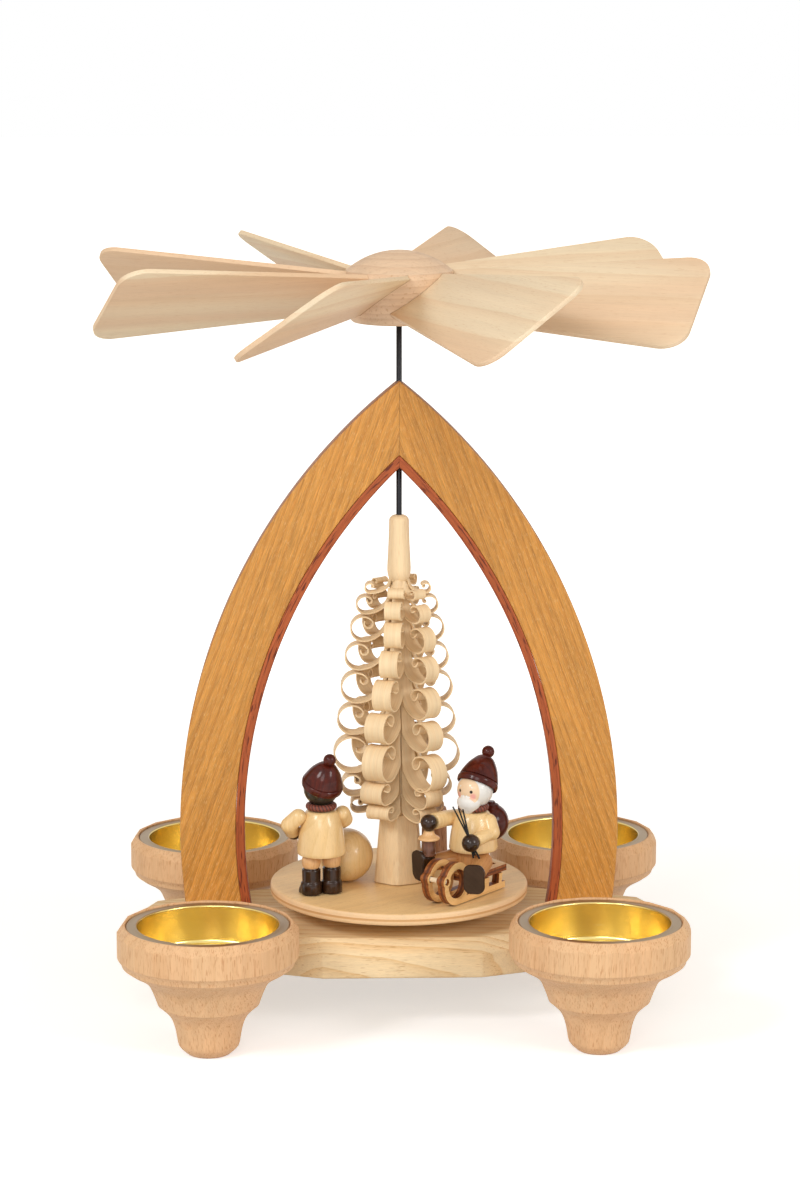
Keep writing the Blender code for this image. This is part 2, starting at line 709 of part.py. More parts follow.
def make_turntable(axis):
    bore = SHAFT_RADIUS + GAP
    flat = DISC_RADIUS - DISC_EDGE
    points = [(bore, DISC_TOP), (flat, DISC_TOP), (DISC_RADIUS, DISC_TOP - DISC_EDGE),
              (DISC_RADIUS, DISC_BOTTOM + DISC_EDGE), (flat, DISC_BOTTOM), (bore, DISC_BOTTOM)]
    turned("turntable", points, (VARNISHED, 0.4), closed=True, steps=DISC_STEPS, parent=axis)


def tier_heights():
    """Upper and lower height of each tier of curls above the disc, stacked from the top."""
    upper = CURLS_TOP
    for share in CURL_SIZE_SHARES:
        lower = upper - CURL_DIAMETER * share
        yield upper, lower
        upper = lower


def cone_radius(height):
    """Radius of the turned cone before its shavings were lifted."""
    share = (CURLS_TOP - height) / (CURLS_TOP - CURLS_BOTTOM)
    return CONE_TOP_RADIUS + (CONE_FOOT_RADIUS - CONE_TOP_RADIUS) * share


def curl_path(upper, lower, reach):
    """Middle line of one shaving as (radius, height): down from the stem, round and in on itself."""
    size = upper - lower - CURL_SPACE
    ring = (size - CURL_STRIP) / 2
    centre_r = reach - CURL_STRIP / 2 - ring
    centre_z = lower + CURL_SPACE / 2 + CURL_STRIP / 2 + ring
    root_r = cone_radius(upper) * CURL_ROOT_SHARE
    lead_top = centre_z + ring
    points = []
    for i in range(CURL_LEAD_STEPS):
        angle = math.pi * (1 + i / CURL_LEAD_STEPS / 2)
        points.append((centre_r + (centre_r - root_r) * math.cos(angle),
                       lead_top + (lead_top - centre_z + ring) * math.sin(angle)))
    for i in range(CURL_RING_STEPS + 1):
        turn = CURL_TURN * i / CURL_RING_STEPS
        past_top = max(0.0, (turn - math.pi) / (CURL_TURN - math.pi))
        radius = ring * (1 - (1 - CURL_END_SHARE) * past_top)
        angle = turn - math.pi / 2
        points.append((centre_r + radius * math.cos(angle), centre_z + radius * math.sin(angle)))
    return points


def add_curl(edit, path, half_width, heading):
    """Pull one edge along the path: the shaving is no wider than its sector of the stem."""
    sector = math.tan(math.pi / CURL_COLUMNS)
    outward = Vector((math.cos(heading), math.sin(heading), 0.0))
    sideways = Vector((-math.sin(heading), math.cos(heading), 0.0))
    edge = None
    for radius, height in path:
        half = min(half_width, radius * sector - CURL_SIDE_GAP)
        middle = outward * radius + Vector((0.0, 0.0, height))
        ends = (middle - sideways * half, middle + sideways * half)
        if edge is None:
            edge = edit.edges.new([edit.verts.new(end) for end in ends])
            continue
        pulled = bmesh.ops.extrude_edge_only(edit, edges=[edge])["geom"]
        edge = next(item for item in pulled if isinstance(item, bmesh.types.BMEdge))
        for vertex, end in zip(sorted(edge.verts, key=lambda vertex: vertex.co.dot(sideways)), ends):
            vertex.co = end


def make_curls():
    mesh = bpy.data.meshes.new("curls")
    edit = bmesh.new()
    for (upper, lower), reach_share in zip(tier_heights(), CURL_REACH_SHARES):
        path = curl_path(upper, lower, CURL_REACH * reach_share)
        half_width = math.pi * cone_radius(upper) / CURL_COLUMNS
        for column in range(CURL_COLUMNS):
            add_curl(edit, path, half_width, CURL_FIRST_ANGLE + column * 2 * math.pi / CURL_COLUMNS)
    edit.to_mesh(mesh)
    edit.free()
    curls = make_object("curls", mesh, None, location=(0.0, 0.0, DISC_TOP))
    strip = curls.modifiers.new("strip", 'SOLIDIFY')
    strip.thickness = CURL_STRIP
    strip.offset = 0.0
    strip.use_even_offset = True
    return hide_as_cutter(curls)


def make_tree(axis):
    """One turned stick whose lower part is shaved up into six rows of curls."""
    cut_top = CURLS_TOP + CONE_TOP_RADIUS
    points = [(POLE, TREE_HEIGHT)]
    points += scaled(TREE_SHOULDER_SHARES, TREE_NECK_RADIUS, TREE_SHOULDER, TREE_HEIGHT - TREE_SHOULDER)
    points += [(CONE_TOP_RADIUS, cut_top),
              (CONE_TOP_RADIUS * CORE_SHARE, CURLS_TOP),
              (cone_radius(CURLS_BOTTOM) * CORE_SHARE, CURLS_BOTTOM),
              (TREE_TRUNK_TOP_RADIUS, TREE_TRUNK_HEIGHT), (TREE_FOOT_RADIUS, GAP), (POLE, GAP)]
    tree = turned("tree", points, (SHAVING, 0.6), steps=2 * CURL_COLUMNS, parent=axis,
                  location=(0.0, 0.0, DISC_TOP), rotation=(0.0, 0.0, CURL_FIRST_ANGLE))
    combine(tree, make_curls(), 'UNION')
    bore = rod("tree_bore", SHAFT_RADIUS + GAP, DISC_TOP - OVERRUN, TREE_TOP + OVERRUN, None)
    combine(tree, hide_as_cutter(bore), 'DIFFERENCE')


def make_stump(axis):
    points = [(POLE, STUMP_HEIGHT), (STUMP_TOP_RADIUS, STUMP_HEIGHT), (STUMP_FOOT_RADIUS, 0.0), (POLE, 0.0)]
    turned("stump", points, (SHAVING, 0.6), steps=STUMP_STEPS, parent=axis,
           location=(STUMP_X, STUMP_Y, GROUND))


def make_snowball(axis):
    centre = GROUND + BALL_RADIUS - BALL_FLAT
    snowball = ball("snowball", BALL_RADIUS, (VARNISHED, 0.35), segments=FIGURE_STEPS, parent=axis,
                    location=(BALL_X, BALL_Y, centre))
    cut = block("ball_flat", (4 * BALL_RADIUS, 4 * BALL_RADIUS, BALL_RADIUS), None,
                location=(BALL_X, BALL_Y, GROUND - BALL_RADIUS / 2))
    combine(snowball, hide_as_cutter(cut), 'DIFFERENCE')


def coat_points(bottom, height, spare=0.0):
    return scaled(COAT_PROFILE_SHARES, COAT_RADIUS + spare, height + 2 * spare, bottom - spare)


def make_coat(name, bottom, height, frame):
    """A turned coat, and the room round it that its sleeves and loads are fitted to."""
    turned(name, coat_points(bottom, height), (VARNISHED, 0.25), steps=FIGURE_STEPS, parent=frame)
    room = turned(name + "_room", coat_points(bottom, height, GAP), None, steps=FIGURE_STEPS, parent=frame)
    return hide_as_cutter(room)


def make_scarf(name, coat_top, frame):
    centre = (SCARF_RADIUS, coat_top + GAP + SCARF_WIRE)
    ring = arc(centre, SCARF_WIRE, math.pi / 2, -3 * math.pi / 2, SCARF_STEPS)
    turned(name, ring[:-1], (DARK_RED, 0.6), closed=True, steps=SMALL_STEPS, parent=frame)


def head_centre(coat_top, head_radius):
    """Height at which the head's ball rests in the ring of the scarf."""
    ring_height = coat_top + GAP + SCARF_WIRE
    reach = head_radius + SCARF_WIRE + GAP
    return max(ring_height + math.sqrt(reach ** 2 - SCARF_RADIUS ** 2), coat_top + GAP + head_radius)


def make_hat(name, head_radius, height, frame, head_height, tilt):
    """A bell with a bobble, hollowed to sit on the ball of the head."""
    brim = head_radius * HAT_BRIM_SHARE
    hollow = head_radius + 2 * GAP
    inside = arc((0.0, 0.0), hollow, math.asin(brim / hollow), math.pi / 2, HAT_HOLLOW_STEPS)
    points = [(POLE, brim + height)] + scaled(HAT_PROFILE_SHARES, HAT_RADIUS, height, brim)
    points += inside[:-1] + [(POLE, hollow)]
    hat = turned(name, points, (DARK_RED, 0.25), steps=FIGURE_STEPS, parent=frame,
                 location=(0.0, 0.0, head_height), rotation=tilt)
    bobble_height = brim + height + BOBBLE_RADIUS * (1 - BOBBLE_SUNK_SHARE)
    bobble = ball(name + "_bobble", BOBBLE_RADIUS, None, segments=BALL_STEPS, parent=hat,
                  location=(0.0, 0.0, bobble_height))
    combine(hat, hide_as_cutter(bobble), 'UNION')


def make_arm(name, route, hand_radius, room, frame):
    """A sleeve with a round shoulder, fitted to the coat, and the ball of a hand at its end."""
    elbow, wrist = Vector(route[-2]), Vector(route[-1])
    hand_centre = wrist + (wrist - elbow).normalized() * hand_radius * WRIST_SHARE
    arm = tube(name, route, ARM_RADIUS, (VARNISHED, 0.25), parent=frame)
    shoulder = ball(name + "_shoulder", ARM_RADIUS, None, segments=BALL_STEPS, parent=frame,
                    location=route[0])
    hand = ball(name + "_hand", hand_radius, None, segments=BALL_STEPS, parent=frame, location=hand_centre)
    combine(arm, hide_as_cutter(shoulder), 'UNION')
    combine(arm, hide_as_cutter(hand), 'UNION')
    combine(arm, room, 'DIFFERENCE')
    return arm, hand_centre


def make_child_leg(side_name, side, frame):
    """A turned leg in a boot, with the toe of the boot fused to its front and cut level."""
    place = (side * CHILD_STANCE, 0.0, 0.0)
    points = [(POLE, LEG_HEIGHT), (LEG_RADIUS, LEG_HEIGHT), (LEG_RADIUS, BOOT_HEIGHT + LEG_RADIUS / 2)]
    points += scaled(BOOT_PROFILE_SHARES, BOOT_RADIUS, BOOT_HEIGHT)
    points += [(BOOT_SOLE_RADIUS, BOOT_HEIGHT * BOOT_WELT_SHARE), (BOOT_SOLE_RADIUS, 0.0), (POLE, 0.0)]
    leg = turned("child_leg_" + side_name, points, (BOOT_BROWN, 0.3), steps=SMALL_STEPS, parent=frame,
                 location=place)
    toe = ball("child_toe_" + side_name, BOOT_SOLE_RADIUS, None, segments=BALL_STEPS, parent=leg,
               location=(0.0, BOOT_TOE, 0.0), stretch=BOOT_TOE_SHARES)
    combine(leg, hide_as_cutter(toe), 'UNION')
    depth = 2 * BOOT_SOLE_RADIUS
    below = block("child_floor_" + side_name, (4 * depth, 4 * depth, depth), None, parent=leg,
                  location=(0.0, 0.0, -depth / 2))
    combine(leg, hide_as_cutter(below), 'DIFFERENCE')


def make_child(axis):
    frame = make_empty("child_frame", (CHILD_X, CHILD_Y, GROUND), CHILD_TURN, axis)
    for side_name, side in (("left", -1), ("right", 1)):
        make_child_leg(side_name, side, frame)
    coat_bottom = LEG_HEIGHT + GAP
    coat_top = coat_bottom + CHILD_COAT_HEIGHT
    room = make_coat("child_coat", coat_bottom, CHILD_COAT_HEIGHT, frame)
    make_scarf("child_scarf", coat_top, frame)
    head_height = head_centre(coat_top, CHILD_HEAD_RADIUS)
    ball("child_head", CHILD_HEAD_RADIUS, (BEECH, 0.4), segments=FIGURE_STEPS, parent=frame,
         location=(0.0, 0.0, head_height))
    make_hat("child_hat", CHILD_HEAD_RADIUS, CHILD_HAT_HEIGHT, frame, head_height,
             (CHILD_HAT_BACK, CHILD_HAT_SIDE, 0.0))
    make_arm("child_arm_left", CHILD_LEFT_ARM, CHILD_HAND_RADIUS, room, frame)
    make_arm("child_arm_right", CHILD_RIGHT_ARM, CHILD_HAND_RADIUS, room, frame)


def post_outline(rear, front):
    """A leaning post between the rail and the seat, walked from its front foot to its rear foot."""
    return [(-front, RAIL_HEIGHT), (-front - POST_LEAN, POST_TOP), (-rear - POST_LEAN, POST_TOP),
            (-rear, RAIL_HEIGHT)]


def runner_outlines():
    """Side of a runner: a rail with two posts and a round scroll in front."""
    scroll = (SCROLL_FORWARD, SCROLL_RADIUS)
    meets_rail = math.pi + math.asin((SCROLL_RADIUS - RAIL_HEIGHT) / SCROLL_RADIUS)
    outline = [(-RUNNER_REAR, 0.0)]
    outline += arc(scroll, SCROLL_RADIUS, -math.pi / 2, meets_rail, SCROLL_STEPS)
    outline += post_outline(*FRONT_POST) + post_outline(*REAR_POST)
    outline += [(-RUNNER_REAR, RAIL_HEIGHT)]
    eye = arc(scroll, SCROLL_HOLE, 0.0, 2 * math.pi, SCROLL_STEPS)[:-1]
    return [outline, eye]


def make_runner(side_name, side, frame):
    """A runner with a small boss on its scroll that takes the end of the crossbar."""
    upright = (math.pi / 2, 0.0, 0.0)
    middle = side * (SLED_HALF_WIDTH - RUNNER_THICKNESS / 2)
    runner = board("sled_runner_" + side_name, runner_outlines(), RUNNER_THICKNESS, (BURNT, 0.5),
                   parent=frame, location=(0.0, middle, 0.0), rotation=upright)
    along, height = crossbar_place()
    boss = rod("crossbar_boss_" + side_name, CROSSBAR_BOSS, -RUNNER_THICKNESS / 2, RUNNER_THICKNESS / 2, None,
               steps=BALL_STEPS, parent=frame, location=(along, middle, height), rotation=upright)
    hole = rod("crossbar_hole_" + side_name, CROSSBAR_RADIUS + GAP, -RUNNER_THICKNESS, RUNNER_THICKNESS, None,
               steps=BALL_STEPS, parent=frame, location=(along, middle, height), rotation=upright)
    combine(runner, hide_as_cutter(boss), 'UNION')
    combine(runner, hide_as_cutter(hole), 'DIFFERENCE')


def crossbar_place():
    ring = (SCROLL_RADIUS + SCROLL_HOLE) / 2
    return (SCROLL_FORWARD + ring * math.cos(CROSSBAR_ANGLE), SCROLL_RADIUS + ring * math.sin(CROSSBAR_ANGLE))


def seat_bottom():
    return POST_TOP + GAP


def make_sled(frame):
    make_runner("far", -1, frame)
    make_runner("near", 1, frame)
    front = SCROLL_FORWARD - SCROLL_RADIUS - GAP
    rim = [(-SEAT_REAR, -SLED_HALF_WIDTH), (front, -SLED_HALF_WIDTH), (front, SLED_HALF_WIDTH),
           (-SEAT_REAR, SLED_HALF_WIDTH)]
    slot_front = -SEAT_SLOT_REAR + SEAT_SLOT_LENGTH
    slot = [(-SEAT_SLOT_REAR, -SEAT_SLOT_HALF), (slot_front, -SEAT_SLOT_HALF), (slot_front, SEAT_SLOT_HALF),
            (-SEAT_SLOT_REAR, SEAT_SLOT_HALF)]
    board("sled_seat", [rim, slot], SEAT_THICKNESS, (BURNT, 0.5), parent=frame,
          location=(0.0, 0.0, seat_bottom() + SEAT_THICKNESS / 2))
    along, height = crossbar_place()
    half_bar = SLED_HALF_WIDTH - GAP
    rod("sled_crossbar", CROSSBAR_RADIUS, -half_bar, half_bar, (MAPLE, 0.5), steps=BALL_STEPS, parent=frame,
        location=(along, 0.0, height), rotation=(math.pi / 2, 0.0, 0.0))


def make_man_leg(side_name, side, frame):
    """A tapered leg lying over the seat, with a flat-soled boot square to its end."""
    hip = Vector((-HIP_REAR, side * HIP_SIDE, seat_bottom() + SEAT_THICKNESS + GAP + HIP_RADIUS))
    sole = Vector((FOOT_FORWARD, side * FOOT_SIDE, FOOT_HEIGHT))
    length = (sole - hip).length
    points = [(POLE, length), (ANKLE_RADIUS, length), (HIP_RADIUS, 0.0), (POLE, 0.0)]
    leg = turned("man_leg_" + side_name, points, (TROUSER, 0.5), steps=SMALL_STEPS, parent=frame,
                 location=hip)
    leg.rotation_mode = 'QUATERNION'
    leg.rotation_quaternion = (sole - hip).to_track_quat('Z', 'Y')
    mesh = bpy.data.meshes.new("shoe")
    edit = bmesh.new()
    bmesh.ops.create_cone(edit, cap_ends=True, segments=BALL_STEPS, radius1=SHOE_HALF_WIDTH * SHOE_HEEL_SHARE,
                          radius2=SHOE_HALF_WIDTH, depth=SHOE_LENGTH)
    bmesh.ops.scale(edit, vec=(1.0, SHOE_HALF_HEIGHT / SHOE_HALF_WIDTH, 1.0), verts=edit.verts)
    edit.to_mesh(mesh)
    edit.free()
    shoe = make_object("man_shoe_" + side_name, mesh, None, parent=leg,
                       location=(0.0, 0.0, length - SHOE_LENGTH / 2 + GAP))
    combine(leg, hide_as_cutter(shoe), 'UNION')


def make_twigs(hand, place, frame):
    """Thin rods held in the fist, tied in the middle and fanned out above and below."""
    lean = (TWIG_LEAN_SIDE, TWIG_LEAN_FORWARD, 0.0)
    half_tie = TWIG_TIE_LENGTH / 2
    tie = rod("twigs", TWIG_TIE_RADIUS, -half_tie, half_tie, (BLACK, 0.6), steps=BALL_STEPS, parent=frame,
              location=place, rotation=lean)
    rise = Vector((0.0, 0.0, 1.0))
    for i in range(TWIG_COUNT):
        rank = i - (TWIG_COUNT - 1) / 2
        fan = Vector((*TWIG_FAN_SHARES, 0.0)) * rank
        upper = fan * TWIG_SPREAD + rise * (TWIG_ABOVE - abs(rank) * TWIG_SPREAD)
        lower = fan * TWIG_SPREAD + rise * (abs(rank) * TWIG_SPREAD - TWIG_BELOW)
        knot = fan * TWIG_PITCH
        twig = tube("twig_%d" % i, [lower, knot, upper], TWIG_RADIUS, None, parent=tie)
        combine(tie, hide_as_cutter(twig), 'UNION')
    reach = MAN_HAND_RADIUS + OVERRUN
    hole = rod("twig_hole", TWIG_HOLE, -reach, reach, None, steps=BALL_STEPS, parent=frame, location=place,
               rotation=lean)
    combine(hand, hide_as_cutter(hole), 'DIFFERENCE')


def make_lantern(hand, frame):
    """A little lantern hanging under the fist: a curved roof over a round body."""
    top = -MAN_HAND_RADIUS - GAP
    eaves = top - LANTERN_ROOF_HEIGHT
    foot = eaves - LANTERN_BODY_HEIGHT
    points = [(POLE, top)] + scaled(LANTERN_ROOF_SHARES, LANTERN_ROOF_RADIUS, LANTERN_ROOF_HEIGHT, eaves)
    points += [(LANTERN_BODY_RADIUS, eaves), (LANTERN_BODY_RADIUS, foot), (POLE, foot)]
    turned("lantern", points, (BURNT, 0.5), steps=SMALL_STEPS, parent=frame, location=hand)


def make_man(frame):
    make_man_leg("far", -1, frame)
    make_man_leg("near", 1, frame)
    coat_bottom = seat_bottom() + SEAT_THICKNESS + 2 * GAP + 2 * HIP_RADIUS
    coat_top = coat_bottom + MAN_COAT_HEIGHT
    room = make_coat("man_coat", coat_bottom, MAN_COAT_HEIGHT, frame)
    make_scarf("man_scarf", coat_top, frame)
    head_height = head_centre(coat_top, MAN_HEAD_RADIUS)
    head = ball("man_head", MAN_HEAD_RADIUS, (WHITE, 0.4), segments=FIGURE_STEPS, parent=frame,
                location=(0.0, 0.0, head_height))
    make_hat("man_hat", MAN_HEAD_RADIUS, MAN_HAT_HEIGHT, frame, head_height, (0.0, -MAN_HAT_BACK, 0.0))
    beard_forward = SCARF_RADIUS + SCARF_WIRE + GAP + BEARD_HALF_DEPTH * BEARD_OUT_SHARE
    beard = ball("beard", BEARD_HALF_WIDTH, None, segments=BALL_STEPS, parent=frame,
                 location=(beard_forward, 0.0, head_height - BEARD_DROP),
                 stretch=(BEARD_HALF_DEPTH / BEARD_HALF_WIDTH, 1.0, BEARD_HALF_HEIGHT / BEARD_HALF_WIDTH))
    combine(head, hide_as_cutter(beard), 'UNION')
    sack = ball("man_sack", SACK_RADIUS, (DARK_RED, 0.25), segments=FIGURE_STEPS, parent=frame,
                location=(-SACK_BACK, 0.0, SACK_HEIGHT), stretch=(1.0, 1.0, SACK_STRETCH_SHARE))
    combine(sack, room, 'DIFFERENCE')
    near_arm, near_hand = make_arm("man_arm_near", MAN_NEAR_ARM, MAN_HAND_RADIUS, room, frame)
    far_arm, far_hand = make_arm("man_arm_far", MAN_FAR_ARM, MAN_HAND_RADIUS, room, frame)
    make_twigs(near_arm, near_hand, frame)
    make_lantern(far_hand, frame)


# Rotor

def make_hub(axis):
    dome_radius = (HUB_RADIUS ** 2 + HUB_DOME_HEIGHT ** 2) / (2 * HUB_DOME_HEIGHT)
    dome_centre = HUB_TOP - dome_radius
    edge = math.acos(HUB_RADIUS / dome_radius)
    dome = arc((0.0, dome_centre), dome_radius, math.pi / 2, edge, HUB_DOME_STEPS)
    bore = SHAFT_RADIUS + GAP
    bore_top = SHAFT_TOP + GAP
    points = [(POLE, HUB_TOP)] + dome[1:]
    points += [(HUB_FOOT_RADIUS, HUB_BOTTOM), (bore, HUB_BOTTOM), (bore, bore_top), (POLE, bore_top)]
    return turned("rotor_hub", points, (BEECH, 0.55), steps=HUB_STEPS, parent=axis)


def blade_outline(root, tip, spare):
    """A board that widens outwards, with its two outer corners rounded."""
    def half_at(distance):
        share = (distance - BLADE_ROOT) / (BLADE_TIP - BLADE_ROOT)
        return BLADE_ROOT_HALF + (BLADE_TIP_HALF - BLADE_ROOT_HALF) * share + spare

    slope = math.atan2(BLADE_TIP_HALF - BLADE_ROOT_HALF, BLADE_TIP - BLADE_ROOT)
    centre_u = tip - BLADE_CORNER
    centre_v = half_at(centre_u) - BLADE_CORNER / math.cos(slope)
    corner = arc((centre_u, centre_v), BLADE_CORNER, 0.0, math.pi / 2 + slope, CORNER_STEPS)
    upper = corner + [(root, half_at(root))]
    return [(u, -v) for u, v in upper[::-1]] + upper


def blade_object(name, outline, thickness, index, axis, finish):
    item = board(name, [outline], thickness, finish, parent=axis, location=(0.0, 0.0, BLADE_HEIGHT))
    heading = BLADE_FIRST_ANGLE + index * 2 * math.pi / BLADE_COUNT
    item.rotation_euler = (BLADE_TILT, 0.0, heading)
    return item


def make_rotor(axis):
    hub = make_hub(axis)
    for index in range(BLADE_COUNT):
        outline = blade_outline(BLADE_ROOT, BLADE_TIP, 0.0)
        blade_object("blade_%d" % (index + 1), outline, BLADE_THICKNESS, index, axis, (MAPLE, 0.6))
        way = blade_outline(BLADE_ROOT - GAP, BLADE_TIP, GAP)
        slot = blade_object("slot_%d" % (index + 1), way, BLADE_THICKNESS + 2 * GAP, index, axis, None)
        combine(hub, hide_as_cutter(slot), 'DIFFERENCE')


def make_carousel():
    axis = make_empty("carousel_axis", (0.0, 0.0, 0.0))
    make_shaft(axis)
    make_turntable(axis)
    make_tree(axis)
    make_stump(axis)
    make_snowball(axis)
    make_child(axis)
    sled_frame = make_empty("sled_frame", (SLED_X, SLED_Y, GROUND), SLED_HEADING, axis)
    make_sled(sled_frame)
    make_man(sled_frame)
    make_rotor(axis)


make_stand()
make_carousel()
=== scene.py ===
# %% [markdown]
# # A candle carousel
#
# This lesson dresses a small wooden table pyramid. Four tealights stand in brass-lined cups, and their
# warm air turns a rotor of eight pitched blades. The rotor turns a thin steel shaft, and the shaft turns
# a disc with a curled tree, a child and a bearded man on a sled.
#
# The plain solids come from the frame, which also knows which pieces turn. Every piece here is modelled
# with the same operators as in Blender's window, and is then handed back to the frame.

# %% Load the frame
import json
import math
import random

import bmesh
import bpy
from mathutils import Matrix, Vector

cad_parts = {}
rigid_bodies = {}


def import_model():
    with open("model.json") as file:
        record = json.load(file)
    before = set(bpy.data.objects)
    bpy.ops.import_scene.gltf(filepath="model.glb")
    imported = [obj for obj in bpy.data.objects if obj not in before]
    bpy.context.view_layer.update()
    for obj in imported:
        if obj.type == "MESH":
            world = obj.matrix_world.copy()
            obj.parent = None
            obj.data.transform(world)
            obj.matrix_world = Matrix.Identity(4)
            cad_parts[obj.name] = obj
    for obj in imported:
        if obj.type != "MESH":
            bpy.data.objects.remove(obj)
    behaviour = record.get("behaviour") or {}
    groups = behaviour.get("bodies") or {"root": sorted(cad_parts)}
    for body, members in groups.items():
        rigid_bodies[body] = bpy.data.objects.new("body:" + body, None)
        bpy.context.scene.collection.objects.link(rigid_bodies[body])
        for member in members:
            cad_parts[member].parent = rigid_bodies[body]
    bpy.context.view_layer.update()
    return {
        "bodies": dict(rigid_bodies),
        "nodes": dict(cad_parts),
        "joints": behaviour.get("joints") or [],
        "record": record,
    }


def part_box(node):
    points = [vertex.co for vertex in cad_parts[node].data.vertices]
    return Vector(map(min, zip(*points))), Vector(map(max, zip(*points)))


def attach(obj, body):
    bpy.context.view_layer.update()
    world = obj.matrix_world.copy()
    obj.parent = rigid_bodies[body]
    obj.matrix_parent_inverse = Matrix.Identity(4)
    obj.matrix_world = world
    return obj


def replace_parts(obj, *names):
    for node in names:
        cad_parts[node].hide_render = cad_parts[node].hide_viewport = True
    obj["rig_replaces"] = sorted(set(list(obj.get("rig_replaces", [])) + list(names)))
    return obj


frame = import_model()
MM = 0.001
print("nodes:", len(frame["nodes"]))

# %% [markdown]
# ## Workshop habits
#
# An operator acts on whatever is selected, and the loaded nodes start selected. So each piece begins with
# nothing selected, and ends with its place worked into its mesh: the object itself stays at the origin,
# unturned and unscaled.

# %% Select by place
def begin():
    if bpy.context.mode != 'OBJECT':
        bpy.ops.object.mode_set(mode='OBJECT')
    bpy.ops.object.select_all(action='DESELECT')


def work_on(piece):
    begin()
    piece.select_set(True)
    bpy.context.view_layer.objects.active = piece


def edit(piece, kind='VERT'):
    work_on(piece)
    bpy.ops.object.mode_set(mode='EDIT')
    bpy.ops.mesh.select_mode(type=kind)


def pick(piece, test, kind='FACE'):
    """Select the faces, edges or corners whose middle passes the test, and nothing else."""
    edit(piece, kind)
    bpy.ops.mesh.select_all(action='DESELECT')
    mesh = bmesh.from_edit_mesh(piece.data)
    chosen = 0
    parts = {'FACE': mesh.faces, 'EDGE': mesh.edges, 'VERT': mesh.verts}[kind]
    for part in parts:
        if kind == 'VERT':
            middle = part.co
        elif kind == 'EDGE':
            middle = (part.verts[0].co + part.verts[1].co) / 2
        else:
            middle = part.calc_center_median()
        if test(part, middle):
            part.select_set(True)
            chosen += 1
    mesh.select_flush_mode()
    bmesh.update_edit_mesh(piece.data)
    return chosen


begin()
print("selected when work starts:", len(bpy.context.selected_objects))

# %% [markdown]
# ## The lathe
#
# Most of this object was turned. A turned piece starts here as one circle, and each further station of
# its profile is an extrusion of that ring, moved along the axis and scaled to its new radius. A tiny ring
# stands for the pole and is welded shut at the end. Profiles are written in millimetres, as a turner would.

# %% Turn a profile
POLE = 0.01


def turn(name, profile, segments=96, bored=False):
    """A piece turned about Z through (radius, height) stations in millimetres; a bored one closes on itself."""
    stations = [(max(radius, POLE) * MM, height * MM) for radius, height in profile]
    begin()
    radius, height = stations[0]
    bpy.ops.mesh.primitive_circle_add(vertices=segments, radius=radius, location=(0.0, 0.0, 0.0))
    piece = bpy.context.object
    piece.name = name
    edit(piece, 'EDGE')
    bpy.ops.mesh.select_all(action='SELECT')
    bpy.ops.transform.translate(value=(0.0, 0.0, height))
    if bored:
        stations.append(stations[0])
    for wide, high in stations[1:]:
        bpy.ops.mesh.extrude_region_move(TRANSFORM_OT_translate={"value": (0.0, 0.0, high - height)})
        share = wide / radius
        bpy.ops.transform.resize(value=(share, share, 1.0), center_override=(0.0, 0.0, high))
        radius, height = wide, high
    bpy.ops.mesh.select_all(action='SELECT')
    bpy.ops.mesh.remove_doubles(threshold=0.02 * MM)
    bpy.ops.mesh.normals_make_consistent(inside=False)
    bpy.ops.object.mode_set(mode='OBJECT')
    return piece


print("a pole starts as a ring of", POLE, "mm")

# %% [markdown]
# Two small helpers write profiles. One runs a smooth line through a few stations, as a turner joins marks
# by eye, and the other gives a part of a circle for rolled edges and balls.

# %% Draw smooth profiles
def flow(points, steps=5):
    """A smooth line through the stations, as a spring batten bent round pins."""
    line = []
    ends = [points[0]] + list(points) + [points[-1]]
    for a, b, c, d in zip(ends, ends[1:], ends[2:], ends[3:]):
        for i in range(steps):
            t = i / steps
            line.append(tuple(0.5 * (2 * q + (r - p) * t + (2 * p - 5 * q + 4 * r - s) * t * t
                                     + (3 * q - p - 3 * r + s) * t ** 3)
                              for p, q, r, s in zip(a, b, c, d)))
    return line + [points[-1]]


def arc(centre, radius, start, end, steps=8):
    """Stations on a circle, from the start angle to the end angle in degrees."""
    angles = [math.radians(start + (end - start) * i / steps) for i in range(steps + 1)]
    return [(centre[0] + radius * math.cos(angle), centre[1] + radius * math.sin(angle)) for angle in angles]


print("a half circle in", len(arc((0, 0), 1, 90, -90)), "stations")

# %% [markdown]
# ## The saw and the spokeshave
#
# Flat pieces start as a block and lose their corners to straight cuts, which Bisect makes and fills. Sharp
# edges are then eased, because no sanded wood has a knife edge, and the thin highlight along an eased edge
# is much of what makes a model look solid.

# %% Saw and ease
def slab(name, low, high):
    """A block between two corners in millimetres."""
    begin()
    low, high = Vector(low) * MM, Vector(high) * MM
    bpy.ops.mesh.primitive_cube_add(size=1.0, location=(0.0, 0.0, 0.0))
    piece = bpy.context.object
    piece.name = name
    edit(piece)
    bpy.ops.mesh.select_all(action='SELECT')
    bpy.ops.transform.resize(value=high - low)
    bpy.ops.transform.translate(value=(low + high) / 2)
    bpy.ops.object.mode_set(mode='OBJECT')
    return piece


def saw(piece, point, normal):
    """Cut away what lies beyond the plane through the point, and close the cut."""
    edit(piece)
    bpy.ops.mesh.select_all(action='SELECT')
    bpy.ops.mesh.bisect(plane_co=Vector(point) * MM, plane_no=Vector(normal), use_fill=True, clear_outer=True,
                        threshold=0.001 * MM)
    bpy.ops.object.mode_set(mode='OBJECT')


def apply_modifier(piece, kind, **settings):
    work_on(piece)
    modifier = piece.modifiers.new(kind.lower(), kind)
    for key, value in settings.items():
        setattr(modifier, key, value)
    bpy.ops.object.modifier_apply(modifier=modifier.name)


